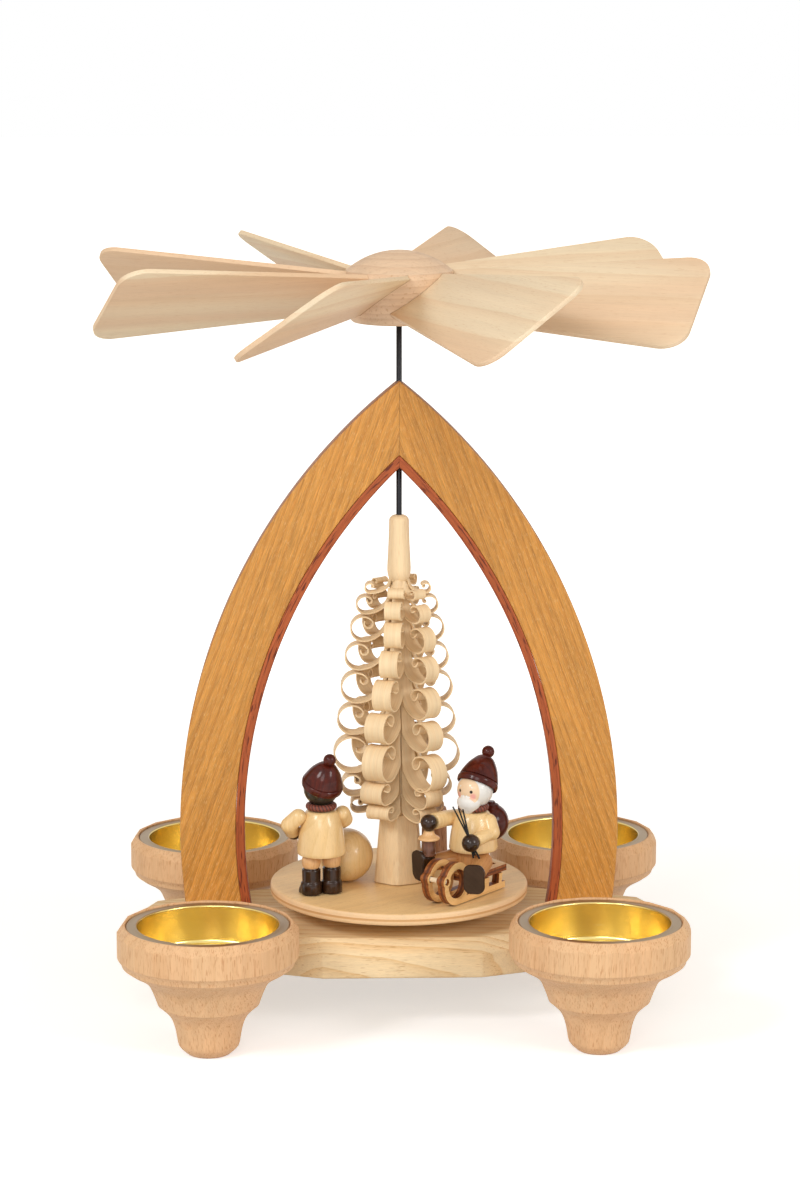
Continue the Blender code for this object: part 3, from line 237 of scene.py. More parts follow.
def ease(piece, width, segments=2, angle=30):
    """Round off every edge sharper than the angle by a width in millimetres."""
    apply_modifier(piece, 'BEVEL', width=width * MM, segments=segments, limit_method='ANGLE',
                   angle_limit=math.radians(angle), use_clamp_overlap=True)


def shape(piece, tool, operation):
    """Cut the piece with the tool, or glue the tool to it; the tool is used up."""
    apply_modifier(piece, 'BOOLEAN', object=tool, operation=operation, solver='EXACT')
    bpy.data.objects.remove(tool, do_unlink=True)


print("tools for flat pieces: slab, saw, ease, shape")

# %% [markdown]
# ## Grain travels with the piece
#
# Wood is a solid pattern, not a skin: the same fibres show as lines on a long face and as dots on an end.
# So each piece remembers where it was cut from the log, in an attribute called grain. Its X runs along the
# fibres, and its distance from the X axis is the distance from the middle of the tree. The attribute is
# written before the piece is moved to its place, and the finishes read it.

# %% Finish a piece
random.seed(7)
GRAIN_TURNS = {'X': Matrix.Identity(3), 'Y': Matrix(((0, 1, 0), (0, 0, 1), (1, 0, 0))),
               'Z': Matrix(((0, 0, 1), (1, 0, 0), (0, 1, 0)))}


def write_grain(piece, points):
    cut = piece.data.attributes.get("grain") or piece.data.attributes.new("grain", 'FLOAT_VECTOR', 'POINT')
    cut.data.foreach_set("vector", [value for point in points for value in point])


def cut_from_log(piece, along='Z', pith=(60, 80), tilt=0.0, about='Y'):
    """Record the grain: the direction of the fibres and the way in millimetres to the middle of the log."""
    start = Vector((random.uniform(-200, 200), pith[0] + random.uniform(-6, 6), pith[1] + random.uniform(-6, 6)))
    turn_in = GRAIN_TURNS[along] @ Matrix.Rotation(math.radians(tilt), 3, about)
    write_grain(piece, [turn_in @ vertex.co + start * MM for vertex in piece.data.vertices])


def write_local(piece):
    """Keep the piece's own measures for a finish that is painted by place."""
    kept = piece.data.attributes.new("local", 'FLOAT_VECTOR', 'POINT')
    kept.data.foreach_set("vector", [value for vertex in piece.data.vertices for value in vertex.co])


def copy_of(piece, name):
    """A second piece with a mesh of its own."""
    work_on(piece)
    bpy.ops.object.duplicate(linked=False)
    twin = bpy.context.object
    twin.name = name
    return twin


def set_in_place(piece, finish, body, replaces, place=None, smooth=40):
    """Work the place into the mesh, shade and paint the piece, and hand it to the frame."""
    if "grain" not in piece.data.attributes:
        cut_from_log(piece)
    work_on(piece)
    if place is not None:
        piece.matrix_world = place
    bpy.ops.object.transform_apply(location=True, rotation=True, scale=True)
    bpy.ops.object.shade_smooth_by_angle(angle=math.radians(smooth))
    piece.data.materials.clear()
    piece.data.materials.append(finish)
    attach(piece, body)
    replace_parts(piece, replaces)
    return piece


print("grain directions:", sorted(GRAIN_TURNS))

# %% [markdown]
# ## Finishes
#
# Every finish is worked out by nodes, so it needs no picture file and holds up at any distance. A small
# helper keeps the node code short: it makes a node, sets its properties, and fills its inputs with either
# a value or another node's output.

# %% Node helpers
def node(tree, kind, inputs=None, **settings):
    made = tree.nodes.new("ShaderNode" + kind)
    for key, value in settings.items():
        setattr(made, key, value)
    for key, value in (inputs or {}).items():
        if isinstance(value, bpy.types.NodeSocket):
            tree.links.new(value, made.inputs[key])
        else:
            made.inputs[key].default_value = value
    return made


def maths(tree, operation, a, b=0.0, clamp=False):
    return node(tree, "Math", {0: a, 1: b}, operation=operation, use_clamp=clamp).outputs[0]


def vector(tree, operation, a, b=(1.0, 1.0, 1.0)):
    made = node(tree, "VectorMath", {0: a, 1: b}, operation=operation)
    return made.outputs["Value" if operation == 'LENGTH' else "Vector"]


def noise(tree, where, scale=1.0, detail=2.0, roughness=0.5):
    return node(tree, "TexNoise", {"Vector": where, "Scale": scale, "Detail": detail, "Roughness": roughness})


def ramp(tree, value, low, high, to_low=0.0, to_high=1.0):
    """Stretch the part of a value between low and high to a new range, softly."""
    made = node(tree, "MapRange", {"Value": value, "From Min": low, "From Max": high, "To Min": to_low,
                                   "To Max": to_high}, interpolation_type='SMOOTHSTEP')
    return made.outputs["Result"]


def blend(tree, share, a, b, kind='MIX'):
    made = tree.nodes.new("ShaderNodeMix")
    made.data_type = 'RGBA'
    made.blend_type = kind
    for socket, value in zip((made.inputs[0], made.inputs[6], made.inputs[7]), (share, a, b)):
        if isinstance(value, bpy.types.NodeSocket):
            tree.links.new(value, socket)
        else:
            socket.default_value = value
    return made.outputs[2]


def new_group(name, inputs, outputs):
    """A node group with named sockets; inputs are (name, kind, default)."""
    group = bpy.data.node_groups.new(name, 'ShaderNodeTree')
    for label, kind, value in inputs:
        socket = group.interface.new_socket(label, in_out='INPUT', socket_type='NodeSocket' + kind)
        socket.default_value = value
    for label, kind in outputs:
        group.interface.new_socket(label, in_out='OUTPUT', socket_type='NodeSocket' + kind)
    entry = group.nodes.new('NodeGroupInput')
    leave = group.nodes.new('NodeGroupOutput')
    return group, entry.outputs, leave.inputs


def grey(value):
    return (value, value, value, 1.0)


print("middle grey:", grey(0.5))

# %% [markdown]
# ### Wood
#
# One group makes every wood on this object. Seen along the log, wood is rings round the pith: pale early
# wood that darkens to a late line each year. Fibres draw everything out lengthways, and each kind has its
# own marks: short brown rays in beech, open pores in ash, next to nothing in maple. Working in the grain
# attribute's millimetres, a single set of rules gives long grain, slanted grain and end grain by itself.

# %% The wood group
def build_wood():
    inputs = [("Early", 'Color', grey(0.5)), ("Late", 'Color', grey(0.3)), ("Mark", 'Color', grey(0.1)),
              ("Ring Width", 'Float', 2.5), ("Ring Strength", 'Float', 0.5), ("Ring Wander", 'Float', 3.0),
              ("Fibre Strength", 'Float', 0.3), ("Fibre Width", 'Float', 0.25), ("Fibre Length", 'Float', 20.0),
              ("Streak Strength", 'Float', 0.3), ("Mark Length", 'Float', 2.0),
              ("Mark Width", 'Float', 0.3), ("Mark Depth", 'Float', 0.3), ("Mark Amount", 'Float', 0.3),
              ("Mark Strength", 'Float', 0.5), ("Ring Pores", 'Float', 0.0), ("Heart", 'Color', grey(0.4)),
              ("Heart Share", 'Float', 0.0)]
    wood, given, out = new_group("Wood", inputs, [("Color", 'Color'), ("Height", 'Float'), ("Marks", 'Float')])
    grain = node(wood, "Attribute", attribute_name="grain").outputs["Vector"]
    place = vector(wood, 'MULTIPLY', grain, (1000.0, 1000.0, 1000.0))

    slow = vector(wood, 'MULTIPLY', place, (0.012, 0.06, 0.06))
    drift = vector(wood, 'SUBTRACT', noise(wood, slow, detail=3.0).outputs["Color"], (0.5, 0.5, 0.5))
    wander = node(wood, "VectorMath", {0: drift, "Scale": given["Ring Wander"]}, operation='SCALE').outputs[0]
    bent = vector(wood, 'ADD', place, wander)
    from_pith = vector(wood, 'LENGTH', vector(wood, 'MULTIPLY', bent, (0.0, 1.0, 1.0)))
    years = maths(wood, 'DIVIDE', from_pith, given["Ring Width"])
    uneven = noise(wood, node(wood, "CombineXYZ", {0: years}).outputs[0], scale=0.35).outputs["Fac"]
    years = maths(wood, 'ADD', years, maths(wood, 'MULTIPLY', uneven, 2.5))
    season = maths(wood, 'FRACT', years)
    late = maths(wood, 'MULTIPLY', maths(wood, 'POWER', season, 2.4), ramp(wood, season, 1.0, 0.93))

    fine = node(wood, "CombineXYZ", {0: maths(wood, 'DIVIDE', 1.0, given["Fibre Length"]),
                                     1: maths(wood, 'DIVIDE', 1.0, given["Fibre Width"]),
                                     2: maths(wood, 'DIVIDE', 1.0, given["Fibre Width"])}).outputs[0]
    fibres = noise(wood, vector(wood, 'MULTIPLY', place, fine), detail=4.0, roughness=0.65).outputs["Fac"]
    broad = noise(wood, vector(wood, 'MULTIPLY', place, (0.02, 0.35, 0.35)), detail=2.0).outputs["Fac"]

    stretch = node(wood, "CombineXYZ", {0: maths(wood, 'DIVIDE', 1.0, given["Mark Length"]),
                                        1: maths(wood, 'DIVIDE', 1.0, given["Mark Width"]),
                                        2: maths(wood, 'DIVIDE', 1.0, given["Mark Depth"])}).outputs[0]
    dashes = noise(wood, vector(wood, 'MULTIPLY', place, stretch), detail=1.0).outputs["Fac"]
    gathered = maths(wood, 'ADD', maths(wood, 'MULTIPLY', given["Mark Amount"], 0.4),
                     maths(wood, 'MULTIPLY', given["Ring Pores"], late))
    edge = maths(wood, 'SUBTRACT', 0.78, gathered)
    marks = ramp(wood, maths(wood, 'SUBTRACT', dashes, edge), 0.0, 0.09)

    tone = noise(wood, vector(wood, 'MULTIPLY', place, (0.006, 0.05, 0.05)), detail=1.0).outputs["Fac"]
    heart = maths(wood, 'MULTIPLY', ramp(wood, tone, 0.40, 0.60), given["Heart Share"])
    colour = blend(wood, heart, given["Early"], given["Heart"])
    colour = blend(wood, maths(wood, 'MULTIPLY', late, given["Ring Strength"], clamp=True), colour, given["Late"])
    lively = maths(wood, 'MULTIPLY', maths(wood, 'SUBTRACT', fibres, 0.5),
                   maths(wood, 'MULTIPLY', given["Fibre Strength"], 2.0))
    streaks = maths(wood, 'MULTIPLY', maths(wood, 'SUBTRACT', broad, 0.5), given["Streak Strength"])
    shade = maths(wood, 'ADD', 1.0, maths(wood, 'ADD', lively, streaks))
    tint = node(wood, "CombineColor", {0: shade, 1: shade, 2: shade}).outputs[0]
    colour = blend(wood, 1.0, colour, tint, 'MULTIPLY')
    colour = blend(wood, maths(wood, 'MULTIPLY', marks, given["Mark Strength"]), colour, given["Mark"])
    wood.links.new(colour, out["Color"])
    wood.links.new(maths(wood, 'SUBTRACT', fibres, maths(wood, 'MULTIPLY', marks, 0.8)), out["Height"])
    wood.links.new(marks, out["Marks"])
    return wood


WOOD = build_wood()
print(WOOD.name, "has", len(WOOD.nodes), "nodes")

# %% [markdown]
# A finish puts the wood group into a material. The shader keeps what is the same all over, and the group
# feeds what changes from place to place: the colour, a roughness that rises in the open marks, and a relief
# of a few hundredths of a millimetre.

# %% A wooden finish
def paint(name, roughness, **settings):
    """An empty material and its shader, with the values that are the same all over set on the shader."""
    material = bpy.data.materials.new(name)
    material.use_nodes = True
    shader = material.node_tree.nodes["Principled BSDF"]
    shader.inputs["Roughness"].default_value = roughness
    for label, value in settings.items():
        shader.inputs[label.replace("_", " ")].default_value = value
    return material, material.node_tree, shader


def relief(tree, shader, height, depth, strength=1.0):
    """Raise the surface by a height map; the depth is in millimetres."""
    bump = node(tree, "Bump", {"Height": height, "Distance": depth * MM, "Strength": strength})
    tree.links.new(bump.outputs["Normal"], shader.inputs["Normal"])


def grow(tree, **values):
    """The wood group in a material, with its own colours and measures."""
    wood = node(tree, "Group", node_tree=WOOD)
    for label, value in values.items():
        colour = isinstance(value, tuple)
        wood.inputs[label.replace("_", " ")].default_value = (*value, 1.0) if colour else value
    return wood


def wood_finish(name, roughness, early, late, mark, depth=0.04, coat=0.0, spread=0.12, **values):
    material, tree, shader = paint(name, roughness, Coat_Weight=coat, Coat_Roughness=0.15, Specular_IOR_Level=0.3)
    wood = grow(tree, Early=early, Late=late, Mark=mark, **values)
    tree.links.new(wood.outputs["Color"], shader.inputs["Base Color"])
    worn = maths(tree, 'ADD', roughness, maths(tree, 'MULTIPLY', wood.outputs["Marks"], spread))
    tree.links.new(worn, shader.inputs["Roughness"])
    relief(tree, shader, wood.outputs["Height"], depth)
    return material


print("the wood group puts out:", [item.name for item in WOOD.interface.items_tree if item.in_out == 'OUTPUT'])

# %% [markdown]
# The woods differ only in their values. Beech is a pinkish tan with many short brown rays, ash is open and
# yellow with bold rings, the arch is a honey-coloured hardwood, and the blades are pale maple.

# %% Mix the woods
BEECH = wood_finish("beech", 0.55, (0.81, 0.53, 0.30), (0.72, 0.42, 0.21), (0.56, 0.25, 0.11), Ring_Width=3.4,
                    Ring_Strength=0.45, Ring_Wander=5.0, Fibre_Strength=0.16, Streak_Strength=0.20,
                    Mark_Length=3.4, Mark_Width=0.24, Mark_Depth=0.7, Mark_Amount=0.51, Mark_Strength=0.6,
                    Heart=(0.76, 0.45, 0.24), Heart_Share=0.4)
ASH = wood_finish("ash", 0.5, (0.88, 0.70, 0.44), (0.74, 0.47, 0.20), (0.50, 0.26, 0.09), Ring_Width=3.4,
                  Ring_Strength=0.75, Ring_Wander=6.0, Fibre_Strength=0.20, Streak_Strength=0.25,
                  Mark_Length=6.0, Mark_Width=0.34, Mark_Amount=0.34, Mark_Strength=0.45, Ring_Pores=0.09)
HONEY = wood_finish("honey_wood", 0.42, (0.61, 0.285, 0.060), (0.42, 0.155, 0.022), (0.80, 0.50, 0.20), coat=0.12,
                    Ring_Width=2.1, Ring_Strength=0.75, Ring_Wander=1.2, Fibre_Strength=0.75, Fibre_Width=0.30,
                    Fibre_Length=6.0, Streak_Strength=0.5, Mark_Length=1.7, Mark_Width=0.20, Mark_Amount=0.50,
                    Mark_Strength=0.45)
# Painted shade: a darker honey wood for the arch's narrow sides, which face away from the front lamps.
HONEY_SIDES_SHADE = wood_finish("honey_sides_painted_shade", 0.5, (0.36, 0.15, 0.055), (0.27, 0.10, 0.035), (0.20, 0.07, 0.02),
                         Ring_Width=2.1, Ring_Strength=0.6, Fibre_Strength=0.3, Mark_Length=3.0, Mark_Width=0.25,
                         Mark_Amount=0.40, Mark_Strength=0.4)
RED_BROWN = wood_finish("red_brown_wood", 0.5, (0.42, 0.10, 0.03), (0.26, 0.05, 0.016), (0.075, 0.012, 0.007),
                        Ring_Width=1.3, Ring_Strength=0.8, Ring_Wander=2.0, Fibre_Strength=0.5,
                        Fibre_Length=8.0, Streak_Strength=0.5, Mark_Length=5.5, Mark_Width=0.55,
                        Mark_Amount=0.52, Mark_Strength=0.85)
MAPLE = wood_finish("maple", 0.6, (0.87, 0.73, 0.53), (0.76, 0.53, 0.33), (0.62, 0.38, 0.20), depth=0.02,
                    Ring_Width=5.0, Ring_Strength=0.5, Fibre_Strength=0.10, Streak_Strength=0.15, Mark_Length=3.0,
                    Mark_Width=0.25, Mark_Amount=0.42, Mark_Strength=0.28, Heart=(0.77, 0.55, 0.37),
                    Heart_Share=0.85)
HUB_WOOD = wood_finish("pale_beech", 0.55, (0.77, 0.57, 0.40), (0.62, 0.40, 0.25), (0.50, 0.28, 0.14), depth=0.02,
                       Ring_Width=1.9, Ring_Strength=0.6, Fibre_Strength=0.14, Mark_Length=1.6, Mark_Width=0.22,
                       Mark_Depth=0.6, Mark_Amount=0.42, Mark_Strength=0.45)
SHAVING = wood_finish("shaved_wood", 0.5, (0.88, 0.69, 0.44), (0.78, 0.52, 0.27), (0.64, 0.36, 0.15), depth=0.02,
                      Ring_Width=1.6, Ring_Strength=0.35, Fibre_Strength=0.18, Mark_Length=6.0, Mark_Width=0.25,
                      Mark_Amount=0.36, Mark_Strength=0.25)
LACQUERED = wood_finish("varnished_wood", 0.34, (0.84, 0.60, 0.30), (0.74, 0.48, 0.19), (0.60, 0.34, 0.12),
                        depth=0.008, coat=0.5, spread=0.0, Ring_Width=1.5, Ring_Strength=0.5, Streak_Strength=0.2,
                        Fibre_Strength=0.14, Mark_Length=3.0, Mark_Width=0.25, Mark_Amount=0.36,
                        Mark_Strength=0.25)
# Painted shade: the stump's dark brown stands for the shade it stands in behind the tree.
STUMP_SHADED_BROWN = wood_finish("stump_brown_painted_shade", 0.45, (0.36, 0.18, 0.095), (0.24, 0.105, 0.05), (0.11, 0.045, 0.02),
                     Ring_Width=1.2, Ring_Strength=0.6, Fibre_Strength=0.45, Mark_Length=2.5, Mark_Width=0.3,
                     Mark_Amount=0.45, Mark_Strength=0.6)
PEACH = wood_finish("light_orange_wood", 0.42, (0.78, 0.48, 0.23), (0.66, 0.35, 0.14), (0.50, 0.22, 0.07),
                    depth=0.01, coat=0.3, Ring_Width=1.1, Ring_Strength=0.5, Fibre_Strength=0.2,
                    Mark_Length=2.0, Mark_Width=0.25, Mark_Amount=0.42, Mark_Strength=0.35)
TROUSER = wood_finish("orange_wood", 0.42, (0.60, 0.30, 0.11), (0.46, 0.19, 0.06), (0.32, 0.11, 0.03),
                      depth=0.01, coat=0.3, Ring_Width=1.1, Ring_Strength=0.5, Fibre_Strength=0.2,
                      Mark_Length=2.0, Mark_Width=0.25, Mark_Amount=0.42, Mark_Strength=0.4)
print("arch:", HONEY.name, "liner:", RED_BROWN.name, "blades:", MAPLE.name)

# %% [markdown]
# ### Metal
#
# The inserts are pressed from thin brass-coloured sheet and the shaft is drawn steel wire. Metal shows its
# roughness more than its colour, so the roughness wanders a little where it was handled, and fine lines run
# round a pressed part and along a drawn wire.

# %% Metal finishes
def metal_finish(name, colour, dull, roughness, stretch, flange=1000.0, cloud=0.15):
    """A metal whose fine lines follow the stretch; it is duller in clouds and beyond the flange radius in mm."""
    material, tree, shader = paint(name, roughness, Metallic=1.0)
    where = node(tree, "TexCoord").outputs["Object"]
    lines = noise(tree, vector(tree, 'MULTIPLY', where, stretch), detail=3.0, roughness=0.7).outputs["Fac"]
    clouds = noise(tree, where, scale=70.0, detail=2.0).outputs["Fac"]
    local = node(tree, "Attribute", attribute_name="local").outputs["Vector"]
    away = vector(tree, 'LENGTH', vector(tree, 'MULTIPLY', local, (1000.0, 1000.0, 0.0)))
    flat = ramp(tree, away, flange, flange + 0.5)
    share = maths(tree, 'MAXIMUM', ramp(tree, clouds, 0.4, 0.7, 0.0, cloud), flat)
    tree.links.new(blend(tree, share, (*colour, 1.0), (*dull, 1.0)), shader.inputs["Base Color"])
    worn = maths(tree, 'ADD', roughness - 0.03, maths(tree, 'MULTIPLY', maths(tree, 'ADD', lines, share), 0.07))
    tree.links.new(worn, shader.inputs["Roughness"])
    relief(tree, shader, lines, 0.002, 0.08)
    return material


BRASS = metal_finish("brass", (0.84, 0.67, 0.26), (0.31, 0.205, 0.10), 0.25, (20.0, 20.0, 1500.0), flange=20.55,
                     cloud=0.06)
STEEL = metal_finish("dark_steel", (0.030, 0.030, 0.033), (0.018, 0.018, 0.020), 0.34, (3000.0, 3000.0, 60.0))
print("metals:", BRASS.name, STEEL.name)

# %% [markdown]
# ### Plywood
#
# The disc is cut from thin plywood. Its face shows one veneer with fine slanted flecks under varnish, and
# its rounded edge shows the plies, light and tan in turn. The bands follow the height alone, so one finish
# serves face and edge.

# %% The plywood finish
def plywood_finish(name, floor, thickness):
    material, tree, shader = paint(name, 0.5, Coat_Weight=0.12, Coat_Roughness=0.3, Specular_IOR_Level=0.35)
    wood = grow(tree, Early=(0.88, 0.62, 0.31), Late=(0.80, 0.52, 0.23), Mark=(0.62, 0.34, 0.12), Ring_Width=6.0,
                Ring_Strength=0.5, Fibre_Strength=0.2, Mark_Length=1.9, Mark_Width=0.2, Mark_Amount=0.44,
                Mark_Strength=0.5)
    height = node(tree, "SeparateXYZ", {0: node(tree, "TexCoord").outputs["Object"]}).outputs["Z"]
    share = maths(tree, 'DIVIDE', maths(tree, 'SUBTRACT', height, floor * MM), thickness * MM)
    plies = node(tree, "ValToRGB", {"Fac": share})
    bands = ((0.0, (0.90, 0.74, 0.52)), (0.36, (0.90, 0.74, 0.52)), (0.40, (0.74, 0.50, 0.28)),
             (0.54, (0.70, 0.46, 0.24)), (0.58, (0.95, 0.80, 0.60)), (0.94, (0.95, 0.80, 0.60)),
             (1.0, (0.88, 0.68, 0.42)))
    stops = plies.color_ramp.elements
    while len(stops) < len(bands):
        stops.new(1.0)
    for stop, (place, colour) in zip(stops, bands):
        stop.position = place
        stop.color = (*colour, 1.0)
    upright = node(tree, "SeparateXYZ", {0: node(tree, "NewGeometry").outputs["True Normal"]}).outputs["Z"]
    level = ramp(tree, maths(tree, 'ABSOLUTE', upright), 0.8, 0.97)
    edge = blend(tree, 0.55, plies.outputs["Color"], wood.outputs["Color"], 'MULTIPLY')
    tree.links.new(blend(tree, level, edge, wood.outputs["Color"]), shader.inputs["Base Color"])
    relief(tree, shader, wood.outputs["Height"], 0.015)
    return material


DISC_LOW, DISC_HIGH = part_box("turntable")
PLYWOOD = plywood_finish("varnished_plywood", DISC_LOW[2] / MM, (DISC_HIGH[2] - DISC_LOW[2]) / MM)
print("disc from", round(DISC_LOW[2] / MM, 2), "to", round(DISC_HIGH[2] / MM, 2), "mm")

# %% [markdown]
# ## The stand
#
# The base is one thick ash board, pointed at both ends. It starts as a block that just holds it. Eight saw
# cuts take off the corners, a plane runs a wide chamfer round the top and a narrow one round the foot, and
# holes are bored for the pivot and for the screws that come up into the arch.

# %% The base plate
PLATE_LOW, PLATE_HIGH = [Vector(corner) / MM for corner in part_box("base_plate")]
SLANT = Vector((0.355, 0.935)).normalized()
SLANT_AT = (23.7, 35.0)
TIP = Vector((0.929, 0.370)).normalized()
LEG_X = 55.98


def make_plate():
    plate = slab("ash_plate", PLATE_LOW, PLATE_HIGH)
    for side_x in (-1, 1):
        for side_y in (-1, 1):
            corner = (SLANT_AT[0] * side_x, SLANT_AT[1] * side_y, 0.0)
            saw(plate, corner, (SLANT.x * side_x, SLANT.y * side_y, 0.0))
            saw(plate, (PLATE_HIGH.x * side_x, 0.0, 0.0), (TIP.x * side_x, TIP.y * side_y, 0.0))
    for height, width in ((PLATE_HIGH.z, 4.0), (PLATE_LOW.z, 0.6)):
        pick(plate, lambda face, middle: abs(middle.z / MM - height) < 0.01)
        bpy.ops.mesh.region_to_loop()
        bpy.ops.mesh.bevel(offset=width * MM, offset_type='OFFSET', segments=1)
    bpy.ops.object.mode_set(mode='OBJECT')
    ease(plate, 0.35, segments=3, angle=20)
    shape(plate, turn("pivot_hole", [(0.0, 40.0), (3.8, 40.0), (3.8, 20.5), (0.0, 20.5)], 24), 'DIFFERENCE')
    for side in (-1, 1):
        hole = turn("screw_hole", [(0.0, 40.0), (1.6, 40.0), (1.6, 19.4), (3.3, 17.6), (3.3, 10.0),
                                   (0.0, 10.0)], 24)
        hole.location.x = side * LEG_X * MM
        shape(plate, hole, 'DIFFERENCE')
    cut_from_log(plate, along='X', pith=(62, -12), tilt=5, about='Z')
    return set_in_place(plate, ASH, "stand", "base_plate", smooth=25)


PLATE = make_plate()
print("plate faces:", len(PLATE.data.polygons))

# %% [markdown]
# Each candle cup is beech, turned like a baluster: a foot, a concave flare, three fine steps, and a straight
# band. Its upper edge was then milled with sixteen shallow flats, which is why the line below the rim is
# scalloped. Flats of this kind are just saw cuts that lean inwards.

# %% Turn a cup and mill its rim
CUP_RADIUS = 26.5
CUP_TOP = 39.1
RIM_FLATS = 16
CUP_X, CUP_Y = 57.1, 51.1
DOWEL_LEVEL = 21.1


def make_cup():
    foot = [(0.0, 0.0), (5.9, 0.0), (6.3, 0.12), (7.1, 0.8), (8.1, 1.7), (8.8, 2.6), (9.1, 3.6)]
    flare = flow([(9.1, 3.6), (9.35, 5.2), (9.75, 7.4), (10.3, 9.3), (10.9, 10.8), (11.7, 12.1), (12.7, 13.2),
                  (14.2, 14.6)], 4)
    bulge = [(14.5, 14.9), (14.95, 15.2)] + flow([(15.0, 15.5), (15.4, 16.6), (16.0, 18.2), (16.6, 19.6),
                                                  (17.3, 21.1), (18.3, 22.4), (20.0, 23.8), (21.7, 24.9),
                                                  (23.6, 26.0), (24.7, 26.9)], 4)
    steps = bulge + [(24.9, 27.0), (25.2, 27.15)] + flow([(25.25, 27.4), (25.5, 28.1), (25.9, 28.8),
                                                          (26.3, 29.3)], 3) + [(CUP_RADIUS, 29.6)]
    seat = 38.2
    rim = [(CUP_RADIUS, CUP_TOP), (24.3, CUP_TOP), (24.05, CUP_TOP - 0.2), (24.05, seat), (20.7, seat),
           (20.72, 25.0), (0.0, 25.0)]
    cup = turn("beech_cup", foot + flare[1:] + steps + rim, 128)
    for index in range(RIM_FLATS):
        angle = 2 * math.pi * (index + 0.5) / RIM_FLATS
        lean = Vector((math.cos(angle) * 0.83, math.sin(angle) * 0.83, 0.56))
        saw(cup, (24.6 * math.cos(angle), 24.6 * math.sin(angle), CUP_TOP), lean)
    ease(cup, 0.06, segments=1, angle=14)
    return cup


CUP = make_cup()
print("cup faces:", len(CUP.data.polygons))

# %% [markdown]
# The tealight sits in a pressed brass insert. Sheet metal never has a sharp corner, so the mouth is rolled
# over, the flange curls down into its seat, and a bead runs round the floor. The inner and the outer skin
# are drawn as one closed profile, 0.4 mm apart.

# %% Press an insert
def make_insert():
    floor, wall = 27.3, 20.6
    inside = [(0.0, floor + 0.05), (6.0, floor + 0.02), (12.0, floor), (wall - 4.3, floor)]
    inside += arc((wall - 3.5, floor), 0.7, 180, 0, 6) + [(wall - 2.1, floor - 0.1)]
    inside += arc((wall - 1.2, floor + 1.1), 1.2, -90, 0, 5) + [(wall, 38.0)]
    mouth = arc((wall + 0.5, 38.25), 0.5, 180, 70, 6) + [(wall + 0.9, 38.66), (23.3, 38.62)]
    edge = arc((23.55, 38.32), 0.32, 80, -60, 5)
    outside = [(23.2, 38.2), (wall + 0.06, 38.2), (wall + 0.05, 37.9)]
    outside += arc((wall - 1.2, floor + 1.1), 1.25 + 0.35, 0, -90, 4) + [(0.0, floor - 0.5)]
    insert = turn("brass_insert", inside + mouth + edge + outside, 128)
    write_local(insert)
    return insert


INSERT = make_insert()
print("insert faces:", len(INSERT.data.polygons))

# %% [markdown]
# One cup, one insert and one dowel are the patterns for all four corners. Each copy gets its own mesh and its
# own place in the log, so no two cups show the same marks. The dowels glue the cups to the slanting sides of
# the plate and are hidden.

# %% Place four cups, inserts and dowels
def make_dowel():
    inner, outer = -38.9, -11.35
    profile = [(0.0, inner), (2.6, inner), (3.0, inner + 0.4), (3.0, outer - 0.4), (2.6, outer), (0.0, outer)]
    return turn("beech_dowel", profile, 32)


DOWEL = make_dowel()
for side_x, across in (("left", -1), ("right", 1)):
    for side_y, deep in (("front", -1), ("back", 1)):
        side = side_y + "_" + side_x
        axis = Vector((CUP_X * across, CUP_Y * deep, 0.0)) * MM
        spin = Matrix.Rotation(random.uniform(-0.4, 0.4), 4, 'Z')
        cup = copy_of(CUP, "cup_of_beech_" + side)
        cut_from_log(cup, along='Z', pith=(15, 45), tilt=random.uniform(-6, 6))
        set_in_place(cup, BEECH, "stand", "cup_" + side, Matrix.Translation(axis) @ spin, smooth=13)
        insert = copy_of(INSERT, "brass_insert_" + side)
        set_in_place(insert, BRASS, "stand", "tealight_insert_" + side, Matrix.Translation(axis) @ spin)
        dowel = copy_of(DOWEL, "beech_dowel_" + side)
        toward = Vector((SLANT.x * across, SLANT.y * deep, 0.0))
        lay = toward.to_track_quat('Z', 'Y').to_matrix().to_4x4()
        cut_from_log(dowel, along='Z', pith=(20, 30))
        set_in_place(dowel, BEECH, "stand", "cup_dowel_" + side,
                     Matrix.Translation(axis + Vector((0.0, 0.0, DOWEL_LEVEL * MM))) @ lay)
for pattern in (CUP, INSERT, DOWEL):
    bpy.data.objects.remove(pattern, do_unlink=True)

# %% [markdown]
# The arch was cut as two curved legs from a honey-coloured board and glued at the point. A leg is a
# rectangle spun about a far centre, a little too far both ways. Its long edges are eased before it is sawn
# level at the foot and upright at the seam, so that the seam stays closed. The board's straight grain runs
# slantwise across the curve. The narrow sides get a darker finish, which is painted shade, because the
# lamps light mostly the front. A thin liner follows the inner side.

# %% Spin the arch and its liner
ARCH_CENTRE = (108.7, 54.0)
ARCH_DEPTH = 7.0
ARCH_FOOT = 28.8
SEAM = 0.03


